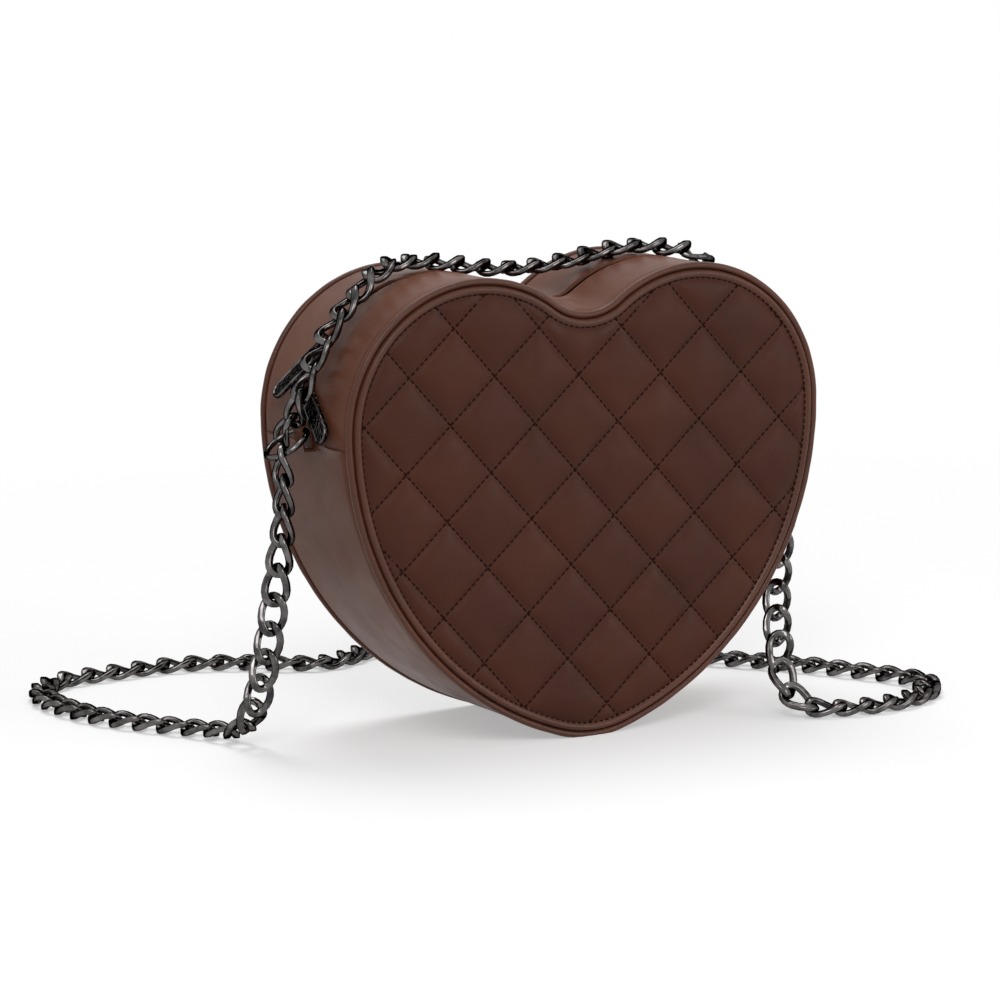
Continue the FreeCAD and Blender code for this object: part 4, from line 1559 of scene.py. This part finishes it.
@dataclass
class Pull:
    """A zip pull: a long rounded plate with an eye at its hinge, a raised rim and a pebbled face."""

    name: str
    length: float = 0.028
    width: float = 0.008
    thickness: float = 0.0012
    eye_length: float = 0.005
    eye_width: float = 0.0058
    bevel: float = 0.00028
    tip_steps: int = 12
    rim: float = 0.0011
    rim_from_eye: float = 0.0006
    rim_from_edge: float = 0.0001
    rim_sunk_share: float = 0.35
    rim_steps: int = 16
    rim_sides: int = 8

    def frame(self) -> Matrix:
        """Find the pull's own frame at rest.

        Returns:
            The frame, with X across on the hinge, Y along the pull and Z off its face.
        """
        joint = joint_of(self.name)
        pos, axis = Vector(joint["pos_m"]), Vector(joint["axis"]).normalized()
        lo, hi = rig.box(self.name)
        reach = (lo + hi) / 2 - pos
        shift = reach.dot(axis)
        along = (reach - axis * shift).normalized()
        off = axis.cross(along)
        lobe = Vector((-HEART.lobe_reach, pos.y, HEART.shoulder))
        if off.dot(pos - lobe) < 0:
            axis, off, shift = -axis, -off, -shift
        return Matrix.Translation(pos + axis * shift) @ Matrix((axis, along, off)).transposed().to_4x4()

    @property
    def eye_end(self) -> float:
        """How far along the pull its eye ends."""
        return self.thickness / 2 + self.eye_length

    def tip(self, half: float, steps: int) -> list[tuple[float, float]]:
        """Draw the rounded tip.

        Args:
            half: The tip's radius.
            steps: How many sides it has.

        Returns:
            Points from right to left.
        """
        shoulder = self.length - self.width / 2
        turns = [math.pi * k / steps for k in range(steps + 1)]
        return [(half * math.cos(turn), shoulder + half * math.sin(turn)) for turn in turns]

    def plate(self) -> bpy.types.Object:
        """Make the plate with its eye, as a filled flat curve with rounded edges.

        Returns:
            The plate as a mesh, in its own frame.
        """
        curve = bpy.data.curves.new(f"{self.name}_plate", "CURVE")
        curve.dimensions = "2D"
        curve.fill_mode = "BOTH"
        curve.extrude = self.thickness / 2 - self.bevel
        curve.bevel_depth = self.bevel
        curve.bevel_resolution = 2
        curve.offset = -self.bevel
        half, low, end = self.width / 2, self.thickness / 2, self.eye_end
        body = [(-half, -low), (half, -low), (half, end), *self.tip(half, self.tip_steps), (-half, end)]
        inside = self.eye_width / 2
        eye = [(-inside, low), (-inside, end), (inside, end), (inside, low)]
        for outline in (body, eye):
            spline = curve.splines.new("POLY")
            spline.points.add(len(outline) - 1)
            for point, (x, y) in zip(spline.points, outline):
                point.co = (x, y, 0, 1)
            spline.use_cyclic_u = True
        name = f"{self.name}_body"
        return new_object(name, plain_mesh(new_object(f"{self.name}_outline", curve), name))

    def rim_faces(self) -> tuple[list[Vector], list[tuple]]:
        """Make a rounded bead round the long part of the plate, on both faces.

        Returns:
            Its points and its faces.
        """
        radius = self.rim / 2
        start = self.eye_end + self.rim_from_eye
        half = self.width / 2 - radius - self.rim_from_edge
        level = self.thickness / 2 - radius * self.rim_sunk_share
        path = [(-half, start), (half, start), *self.tip(half, self.rim_steps)]
        points, faces = [], []
        for face in (-1, 1):
            first = len(points)
            for i, (x, y) in enumerate(path):
                (x_before, y_before), (x_after, y_after) = path[i - 1], path[(i + 1) % len(path)]
                here, onward = Vector((x - x_before, y - y_before)), Vector((x_after - x, y_after - y))
                way = (here.normalized() + onward.normalized()).normalized()
                for k in range(self.rim_sides):
                    turn = 2 * math.pi * k / self.rim_sides
                    out, up = radius * math.cos(turn), radius * math.sin(turn)
                    points.append(Vector((x + way.y * out, y - way.x * out, face * level + up)))
            faces += [tuple(first + c for c in f) for f in grid_faces(len(path), self.rim_sides, True, True)]
        return points, faces

    def build(self) -> None:
        """Build the pull in its own frame, move it to its hinge and let it ride on its body."""
        place = self.frame()
        plate = self.plate()
        plate.data.materials.clear()
        plate.data.materials.append(CAST_GUNMETAL.material)
        plate.data.polygons.foreach_set("use_smooth", [False] * len(plate.data.polygons))
        plate.data.transform(place)
        placed(plate, self.name, Slot.GUNMETAL, self.name)
        points, faces = self.rim_faces()
        rim = outwards(mesh_object(f"{self.name}_rim", [place @ p for p in points], faces, GUNMETAL))
        placed(rim, self.name, Slot.GUNMETAL)


@dataclass
class RingAndTab:
    """A ring in a side seam, and the leather tab that holds it."""

    word: str
    side: int
    wire: float = 0.0022
    mean_radius: float = 0.0084
    droop: float = math.radians(32)
    around: int = 64
    sides: int = 16
    tab_thickness: float = 0.0008
    bore: float = 0.0018
    tab_reach: float = 0.001
    wrap_first: int = -20
    wrap_last: int = 220
    wrap_step: int = 15
    tail_share: float = 0.75
    tail_rise: float = 0.0012

    @property
    def body(self) -> str:
        """The ring's body."""
        return f"{self.word}_ring"

    def build_ring(self) -> None:
        """Bend a round wire into a closed ring."""
        lo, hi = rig.box(self.body)
        middle = (lo + hi) / 2
        turned = Matrix.Rotation(self.side * self.droop, 3, "Y")
        points = []
        for i in range(self.around):
            turn = 2 * math.pi * i / self.around
            spoke = Vector((math.cos(turn), math.sin(turn), 0))
            for j in range(self.sides):
                roll = 2 * math.pi * j / self.sides
                reach = self.mean_radius + self.wire / 2 * math.cos(roll)
                local = spoke * reach + Vector((0, 0, self.wire / 2 * math.sin(roll)))
                points.append(middle + turned @ local)
        faces = grid_faces(self.around, self.sides, True, True)
        ring = outwards(mesh_object(f"{self.word}_ring_wire", points, faces, GUNMETAL))
        placed(ring, self.body, Slot.GUNMETAL, self.body)

    def build_tab(self) -> None:
        """Lay a leather strap out of the seam, round the ring's wire and back in."""
        pivot = Vector(joint_of(self.body)["pos_m"])
        lo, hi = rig.box(f"{self.word}_tab")
        radius = self.bore + self.tab_thickness / 2
        low = lo.z + self.tab_thickness / 2 - pivot.z
        inner = hi.x if self.side < 0 else lo.x
        path = [Vector(((inner - pivot.x) * self.side, low)), Vector((self.tab_reach, low))]
        for degrees in range(self.wrap_first, self.wrap_last + 1, self.wrap_step):
            turn = math.radians(degrees)
            path.append(Vector((radius * math.cos(turn), radius * math.sin(turn))))
        path.append(Vector((-radius * self.tail_share, low + self.tail_rise)))
        points = []
        for i, p in enumerate(path):
            a, b = path[max(i - 1, 0)], path[min(i + 1, len(path) - 1)]
            way = (b - a).normalized()
            off = Vector((-way.y, way.x)) * self.tab_thickness / 2
            for y, n in ((lo.y, 1), (hi.y, 1), (hi.y, -1), (lo.y, -1)):
                q = p + off * n
                points.append(Vector((pivot.x + self.side * q.x, y, pivot.z + q.y)))
        faces = grid_faces(len(path), 4, False, True)
        faces += [(0, 1, 2, 3), tuple(range(len(points) - 1, len(points) - 5, -1))]
        tab = outwards(mesh_object(f"{self.word}_tab_strap", points, faces, GUSSET_LEATHER_PAINTED_LIGHTER, smooth=False))
        placed(tab, BAG, Slot.LEATHER, f"{self.word}_tab")

    def build(self) -> None:
        """Build the ring and its tab."""
        self.build_ring()
        self.build_tab()


# Chain


class Facing(Enum):
    """Which way the flat side of the chain faces."""

    LEFT = (-1, 0, 0)
    UP_LEFT = (-1, 0, 1)
    UP = (0, 0, 1)
    UP_RIGHT = (1, 0, 1)
    RIGHT = (1, 0, 0)
    LEFT_FRONT = (-2, -1, 0)
    FRONT_LEFT = (-1, -2, 0)
    FRONT_DOWN = (0, -1, -1)
    DOWN = (0, 0, -1)
    REAR_DOWN = (0, 1, -1)
    REAR = (0, 1, 0)
    REAR_RIGHT = (1, 2, 0)
    LEFT_HANDLE_HOOK = (-0.84, 0.34, 0.42)
    RIGHT_HANDLE_HOOK = (0.68, -0.73, 0.04)
    LEFT_STRAP_HOOK = (-0.99, 0.04, -0.12)
    RIGHT_STRAP_HOOK = (0.94, 0.02, -0.33)


Row = tuple[float, float, float, Facing]

# Middle lines of the chains from the left ring to the right one, chosen along the photograph
HANDLE_ROUTE: tuple[Row, ...] = (
    (-0.1071, 0.0040, 0.1160, Facing.LEFT_HANDLE_HOOK),
    (-0.1066, -0.0045, 0.1235, Facing.LEFT),
    (-0.1046, -0.0085, 0.1315, Facing.LEFT),
    (-0.1014, -0.0115, 0.1420, Facing.UP_LEFT),
    (-0.0964, -0.0120, 0.1522, Facing.UP_LEFT),
    (-0.0902, -0.0110, 0.1612, Facing.UP_LEFT),
    (-0.0824, -0.0075, 0.1679, Facing.UP_LEFT),
    (-0.0738, -0.0040, 0.1730, Facing.UP_LEFT),
    (-0.0642, 0.0010, 0.1766, Facing.UP),
    (-0.0524, 0.0055, 0.1784, Facing.UP),
    (-0.0405, 0.0080, 0.1763, Facing.UP),
    (-0.0293, 0.0080, 0.1744, Facing.UP),
    (-0.0192, 0.0080, 0.1726, Facing.UP),
    (-0.0082, 0.0080, 0.1714, Facing.UP),
    (0.0029, 0.0080, 0.1717, Facing.UP),
    (0.0141, 0.0080, 0.1722, Facing.UP),
    (0.0245, 0.0080, 0.1738, Facing.UP),
    (0.0350, 0.0080, 0.1764, Facing.UP),
    (0.0455, 0.0080, 0.1772, Facing.UP),
    (0.0565, 0.0080, 0.1768, Facing.UP),
    (0.0668, 0.0080, 0.1740, Facing.UP),
    (0.0765, 0.0075, 0.1696, Facing.UP_RIGHT),
    (0.0865, 0.0060, 0.1624, Facing.UP_RIGHT),
    (0.0950, 0.0035, 0.1530, Facing.UP_RIGHT),
    (0.1005, 0.0015, 0.1425, Facing.RIGHT),
    (0.1045, 0.0020, 0.1320, Facing.RIGHT),
    (0.1085, 0.0030, 0.1235, Facing.RIGHT),
    (0.1098, 0.0037, 0.1136, Facing.RIGHT_HANDLE_HOOK),
)

STRAP_ROUTE: tuple[Row, ...] = (
    (-0.1140, -0.0109, 0.1138, Facing.LEFT_STRAP_HOOK),
    (-0.1126, -0.0098, 0.1030, Facing.LEFT),
    (-0.1125, -0.0088, 0.0910, Facing.LEFT),
    (-0.1133, -0.0078, 0.0800, Facing.LEFT_FRONT),
    (-0.1146, -0.0065, 0.0676, Facing.LEFT_FRONT),
    (-0.1157, -0.0050, 0.0560, Facing.FRONT_LEFT),
    (-0.1167, -0.0030, 0.0440, Facing.FRONT_LEFT),
    (-0.1178, 0.0002, 0.0320, Facing.FRONT_LEFT),
    (-0.1180, 0.0050, 0.0200, Facing.FRONT_LEFT),
    (-0.1180, 0.0140, 0.0085, Facing.FRONT_DOWN),
    (-0.1195, 0.0270, 0.0038, Facing.DOWN),
    (-0.1255, 0.0425, 0.0031, Facing.DOWN),
    (-0.1325, 0.0535, 0.0031, Facing.DOWN),
    (-0.1405, 0.0670, 0.0031, Facing.DOWN),
    (-0.1470, 0.0800, 0.0031, Facing.DOWN),
    (-0.1510, 0.0945, 0.0031, Facing.DOWN),
    (-0.1535, 0.1105, 0.0031, Facing.DOWN),
    (-0.1530, 0.1275, 0.0031, Facing.DOWN),
    (-0.1460, 0.1440, 0.0031, Facing.DOWN),
    (-0.1350, 0.1550, 0.0031, Facing.DOWN),
    (-0.1190, 0.1565, 0.0031, Facing.DOWN),
    (-0.1025, 0.1575, 0.0031, Facing.DOWN),
    (-0.0860, 0.1585, 0.0031, Facing.DOWN),
    (-0.0710, 0.1545, 0.0031, Facing.DOWN),
    (-0.0570, 0.1465, 0.0031, Facing.DOWN),
    (-0.0435, 0.1345, 0.0031, Facing.DOWN),
    (-0.0300, 0.1265, 0.0031, Facing.DOWN),
    (-0.0160, 0.1330, 0.0031, Facing.DOWN),
    (-0.0020, 0.1435, 0.0031, Facing.DOWN),
    (0.0160, 0.1465, 0.0031, Facing.DOWN),
    (0.0330, 0.1375, 0.0031, Facing.DOWN),
    (0.0490, 0.1215, 0.0031, Facing.DOWN),
    (0.0640, 0.1035, 0.0031, Facing.DOWN),
    (0.0790, 0.0845, 0.0031, Facing.DOWN),
    (0.0940, 0.0655, 0.0031, Facing.DOWN),
    (0.1075, 0.0490, 0.0031, Facing.DOWN),
    (0.1190, 0.0340, 0.0031, Facing.DOWN),
    (0.1290, 0.0200, 0.0031, Facing.DOWN),
    (0.1365, 0.0050, 0.0031, Facing.DOWN),
    (0.1435, -0.0085, 0.0031, Facing.DOWN),
    (0.1505, -0.0220, 0.0031, Facing.DOWN),
    (0.1510, -0.0375, 0.0031, Facing.DOWN),
    (0.1405, -0.0510, 0.0031, Facing.DOWN),
    (0.1245, -0.0590, 0.0031, Facing.DOWN),
    (0.1080, -0.0605, 0.0031, Facing.DOWN),
    (0.0925, -0.0570, 0.0031, Facing.DOWN),
    (0.0808, -0.0525, 0.0046, Facing.REAR_DOWN),
    (0.0765, -0.0475, 0.0120, Facing.REAR_DOWN),
    (0.0787, -0.0410, 0.0225, Facing.REAR),
    (0.0828, -0.0335, 0.0325, Facing.REAR_RIGHT),
    (0.0877, -0.0255, 0.0440, Facing.REAR_RIGHT),
    (0.0935, -0.0185, 0.0570, Facing.REAR_RIGHT),
    (0.0990, -0.0120, 0.0705, Facing.REAR_RIGHT),
    (0.1045, -0.0070, 0.0845, Facing.REAR_RIGHT),
    (0.1090, -0.0035, 0.0985, Facing.REAR_RIGHT),
    (0.1143, 0.0012, 0.1138, Facing.RIGHT_STRAP_HOOK),
)

Hold = tuple[tuple[float, float, float], tuple[float, float, float]]

# Where a chain begins to follow its ring, and where it follows it wholly
HANDLE_HOLDS: dict[int, Hold] = {
    LEFT: ((-0.1066, -0.0045, 0.1235), (-0.1071, 0.0040, 0.1160)),
    RIGHT: ((0.1045, 0.0020, 0.1320), (0.1098, 0.0037, 0.1136)),
}
STRAP_HOLDS: dict[int, Hold] = {
    LEFT: ((-0.1125, -0.0088, 0.0910), (-0.1140, -0.0109, 0.1138)),
    RIGHT: ((0.1071, -0.0051, 0.0925), (0.1143, 0.0012, 0.1138)),
}


@dataclass(frozen=True)
class Link:
    """One twisted link of the curb chain."""

    pitch: float = 0.0112
    width: float = 0.0108
    wire: float = 0.0024
    twist: float = math.radians(-44)
    play: float = 0.0005
    around: int = 24
    fullness: float = 0.84

    def line(self) -> bpy.types.Object:
        """Draw the link's middle line: a full oval, turned more and more towards both ends.

        Returns:
            The line as a closed run of edges.
        """
        half_length = (self.pitch + self.wire + self.play) / 2
        half_width = (self.width - self.wire) / 2
        points = []
        for i in range(self.around):
            turn = 2 * math.pi * (i + 0.5) / self.around
            c, s = math.cos(turn), math.sin(turn)
            x = half_length * math.copysign(abs(c) ** self.fullness, c)
            y = half_width * math.copysign(abs(s) ** self.fullness, s)
            twist = self.twist * x / half_length
            points.append(Vector((x, y * math.cos(twist), y * math.sin(twist))))
        return polylines_object("link_line", [points], closed=True)


@dataclass
class Chain:
    """A run of chain from the left ring to the right one, in two halves."""

    word: str
    route: tuple[Row, ...]
    holds: dict[int, Hold]
    link: Link
    links: ChainLinks
    resolution: int = 24

    def smooth(self, controls: Sequence[tuple[float, float, float]]) -> list[Vector]:
        """Draw the smooth line that follows the controls.

        Args:
            controls: Points that draw the line to them.

        Returns:
            Close points on the line.
        """
        name = f"{self.word}_line"
        curve = bpy.data.curves.new(name, "CURVE")
        curve.dimensions = "3D"
        curve.resolution_u = self.resolution
        spline = curve.splines.new("NURBS")
        spline.points.add(len(controls) - 1)
        for point, place in zip(spline.points, controls):
            point.co = (*place, 1)
        spline.order_u = 3
        spline.use_endpoint_u = True
        mesh = plain_mesh(new_object(name, curve), name)
        points = [v.co.copy() for v in mesh.vertices]
        bpy.data.meshes.remove(mesh)
        return points

    def frames(self) -> tuple[list[tuple[Vector, Vector, Vector]], list[Vector], list[float]]:
        """Find the places of the links.

        Returns:
            Each link's middle, along way and facing; the route's smooth points; and the run at each point.
        """
        line = self.smooth([row[:3] for row in self.route])
        faces = self.smooth([tuple(Vector(row[3].value).normalized()) for row in self.route])
        runs = [0.0]
        for a, b in zip(line, line[1:]):
            runs.append(runs[-1] + (b - a).length)
        count = round(runs[-1] / self.link.pitch)

        def at(run: float, values: list[Vector]) -> Vector:
            """Find the value at a run along the line.

            Args:
                run: Run along the line.
                values: A value for each point of the line.

            Returns:
                The value between the two nearest points.
            """
            i = next((k for k, r in enumerate(runs[1:]) if r >= run), len(runs) - 2)
            share = (run - runs[i]) / (runs[i + 1] - runs[i])
            return values[i].lerp(values[i + 1], min(max(share, 0), 1))

        pitch = runs[-1] / count
        made = []
        for i in range(count):
            a, b = at(i * pitch, line), at((i + 1) * pitch, line)
            made.append(((a + b) / 2, (b - a).normalized(), at((i + 0.5) * pitch, faces)))
        return made, line, runs

    def build(self, link_line: bpy.types.Object) -> None:
        """Lay the links along the route, in two halves that each hang on their ring.

        Args:
            link_line: The middle line of one link.
        """
        places, line, runs = self.frames()
        half = len(places) // 2
        middle = runs[-1] * half / len(places)
        cut = next(i for i, run in enumerate(runs) if run >= middle)
        halves = ((places[:half], line[: cut + 1]), (places[half:], line[cut:][::-1]))
        for (word, side), (links, path) in zip(SIDES, halves):
            carrier = polylines_object(f"{self.word}_{word}_places", [[p] for p, _, _ in links])
            for key, index in (("along", 1), ("facing", 2)):
                layer = carrier.data.attributes.new(key, "FLOAT_VECTOR", "POINT")
                layer.data.foreach_set("vector", [v for link in links for v in link[index]])
            piece = self.links.run(
                carrier,
                f"{self.word}_chain_{word}",
                {"Link Line": link_line, "Wire Diameter": self.link.wire, "Material": GUNMETAL.material},
            )
            start, end = (Vector(place) for place in self.holds[side])
            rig.blend(piece, BAG, f"{word}_ring", start=start, end=end)
            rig.slot(piece, Slot.GUNMETAL.value)
            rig.replaces(piece, f"chain_{self.word}_{word}")
            length = sum((b - a).length for a, b in zip(path, path[1:]))
            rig.cord(
                piece,
                exit=path[0],
                length=length,
                diameter=self.link.width,
                far_end="object",
                stiffness="limp",
                lay="loose",
                path=path,
            )
            LOG.info("%s: %d links, %.3f m", piece.name, len(links), length)


# Stage


@dataclass(frozen=True)
class Lamp:
    """A square soft lamp: its place, the length of its side and its power in watts."""

    name: str
    place: tuple[float, float, float]
    power: float
    size: float = 1.0


@dataclass
class Studio:
    """White floor, white surroundings, soft lamps and the camera."""

    azimuth: float = math.radians(-28.75)
    elevation: float = math.radians(9.31)
    roll: float = math.radians(-0.9)
    distance: float = 1.591
    target: tuple[float, float, float] = (-0.0185, -0.0003, 0.0858)
    lens: float = 152.8
    sensor: float = 36.0
    sight: float = 50.0
    floor_size: float = 6.0
    floor_colour: str = "#e1e1e1"
    ambient: float = 0.3
    floor_glow: float = 0.385
    shadow_reach: float = 0.3
    white_reach: float = 0.75
    lamps: tuple[Lamp, ...] = (
        Lamp("key", (-1.0, -1.7, 1.5), 18),
        Lamp("fill", (1.3, -1.9, 0.6), 12),
        Lamp("top", (0.1, 0.5, 1.9), 14),
    )

    def view_rays(self, tree: bpy.types.NodeTree) -> bpy.types.NodeSocket:
        """Tell rays that are seen from light on surfaces.

        Args:
            tree: The node tree that asks.

        Returns:
            One for rays that are seen straight, mirrored or through glass, and otherwise zero.
        """
        path = add_node(tree, "ShaderNodeLightPath").outputs
        both = add_node(
            tree, "ShaderNodeMath", {0: path["Is Camera Ray"], 1: path["Is Glossy Ray"]}, operation="MAXIMUM"
        )
        return add_node(
            tree, "ShaderNodeMath", {0: both.outputs[0], 1: path["Is Transmission Ray"]}, operation="MAXIMUM"
        ).outputs[0]

    def build_world(self) -> None:
        """White all round where it is seen, and an even soft light on the object."""
        world = bpy.data.worlds.new("white_studio")
        world.use_nodes = True
        tree = world.node_tree
        tree.nodes.clear()
        strength = add_node(
            tree, "ShaderNodeMapRange", {"Value": self.view_rays(tree), "To Min": self.ambient, "To Max": 1.0}
        )
        glow = add_node(tree, "ShaderNodeBackground", {"Color": WHITE, "Strength": strength.outputs[0]})
        add_node(tree, "ShaderNodeOutputWorld", {"Surface": glow.outputs[0]})
        bpy.context.scene.world = world

    def floor_paint(self) -> bpy.types.Material:
        """Make matt white paint that keeps the shadow near the bag and turns to plain white further off.

        Returns:
            The material.
        """
        paint = bpy.data.materials.new("white_floor")
        paint.use_nodes = True
        tree = paint.node_tree
        tree.nodes.clear()
        matt = add_node(tree, "ShaderNodeBsdfDiffuse", {"Color": linear(self.floor_colour)})
        seen = self.view_rays(tree)
        strength = add_node(tree, "ShaderNodeMath", {0: seen, 1: self.floor_glow}, operation="MULTIPLY")
        glow = add_node(tree, "ShaderNodeEmission", {"Color": WHITE, "Strength": strength.outputs[0]})
        both = add_node(tree, "ShaderNodeAddShader", {0: matt.outputs[0], 1: glow.outputs[0]})
        white = add_node(tree, "ShaderNodeEmission", {"Color": WHITE, "Strength": seen})
        place = add_node(tree, "ShaderNodeTexCoord").outputs["Object"]
        reach = add_node(tree, "ShaderNodeVectorMath", {0: place}, operation="LENGTH")
        far = add_node(
            tree,
            "ShaderNodeMapRange",
            {"Value": reach.outputs["Value"], "From Min": self.shadow_reach, "From Max": self.white_reach},
            interpolation_type="SMOOTHSTEP",
        )
        ground = add_node(
            tree, "ShaderNodeMixShader", {0: far.outputs[0], 1: both.outputs[0], 2: white.outputs[0]}
        )
        add_node(tree, "ShaderNodeOutputMaterial", {"Surface": ground.outputs[0]})
        return paint

    def build_floor(self) -> None:
        """A wide pale floor that takes the shadow."""
        half = self.floor_size / 2
        mesh = bpy.data.meshes.new("floor")
        corners = [(x * half, y * half, 0) for x, y in ((-1, -1), (1, -1), (1, 1), (-1, 1))]
        mesh.from_pydata(corners, [], [(0, 1, 2, 3)])
        mesh.materials.append(self.floor_paint())
        floor = new_object("floor", mesh)
        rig.stage(floor)

    def build_lamps(self) -> None:
        """Set up the lamps, each turned to the object."""
        for lamp in self.lamps:
            light = bpy.data.lights.new(lamp.name, "AREA")
            light.size = lamp.size
            light.energy = lamp.power
            made = new_object(lamp.name, light)
            made.location = lamp.place
            way = Vector(self.target) - Vector(lamp.place)
            made.rotation_euler = way.to_track_quat("-Z", "Y").to_euler()

    def build_camera(self) -> None:
        """Set up the camera at the photograph's angle."""
        camera = bpy.data.cameras.new("camera")
        camera.lens = self.lens
        camera.sensor_width = self.sensor
        camera.clip_end = self.sight
        level = math.cos(self.elevation)
        back = Vector((
            math.sin(self.azimuth) * level, -math.cos(self.azimuth) * level, math.sin(self.elevation)
        ))
        right = Vector((math.cos(self.azimuth), math.sin(self.azimuth), 0))
        up = back.cross(right)
        turned = Matrix.Rotation(self.roll, 3, back) @ Matrix((right, up, back)).transposed()
        made = new_object("camera", camera)
        made.matrix_world = Matrix.Translation(Vector(self.target) + back * self.distance) @ turned.to_4x4()
        bpy.context.scene.camera = made

    def build(self) -> None:
        """Set up the view, the light and the floor."""
        bpy.context.scene.view_settings.view_transform = "Standard"
        self.build_camera()
        self.build_world()
        self.build_floor()
        self.build_lamps()


# Inner pieces


def dress_inner() -> None:
    """Give the pieces that keep their solids a finish: boards, linings, sliders and zip stops."""
    for name, node in frame["nodes"].items():
        if node.hide_render:
            continue
        if name.endswith("board"):
            finish = BOARD
        elif "lining" in name:
            finish = LINING
        elif name == "zip_stops":
            finish = RESIN
        else:
            finish = GUNMETAL
        node.data.materials.clear()
        node.data.materials.append(finish.material)
        LOG.info("%s keeps its solid, in %s", name, finish.name)


def write_sizes() -> None:
    """Write the solids' box and the dressed model's box."""
    boxes = {"cad": [list(c) for c in CAD_BOX], "visual": [list(c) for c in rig.bounds()]}
    with open("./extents.json", "w") as file:
        json.dump(boxes, file)


def main() -> None:
    """Build the studio, then the chain, and the bag from its faces to its pulls."""
    logging.basicConfig(level=logging.INFO, format="%(name)s: %(message)s")
    Studio().build()
    stitches = Beads("stitch_row", segments=6, rings=5, radius=0.5)
    teeth = Beads("zip_teeth_row", segments=8, rings=6, radius=0.62)
    link, links = Link(), ChainLinks()
    link_line = link.line()
    Chain("handle", HANDLE_ROUTE, HANDLE_HOLDS, link, links).build(link_line)
    Chain("strap", STRAP_ROUTE, STRAP_HOLDS, link, links).build(link_line)
    discard(link_line)
    quilt = Quilt()
    for word, side in FACES:
        QuiltedPanel(word, side, quilt, stitches).build()
        Piping(word, side).build()
    Gussets(stitches).build()
    Zip(teeth).build()
    for word, side in SIDES:
        RingAndTab(word, side).build()
    for name in ("pull_a", "pull_b"):
        Pull(name).build()
    dress_inner()
    write_sizes()


if __name__ == "__main__":
    main()
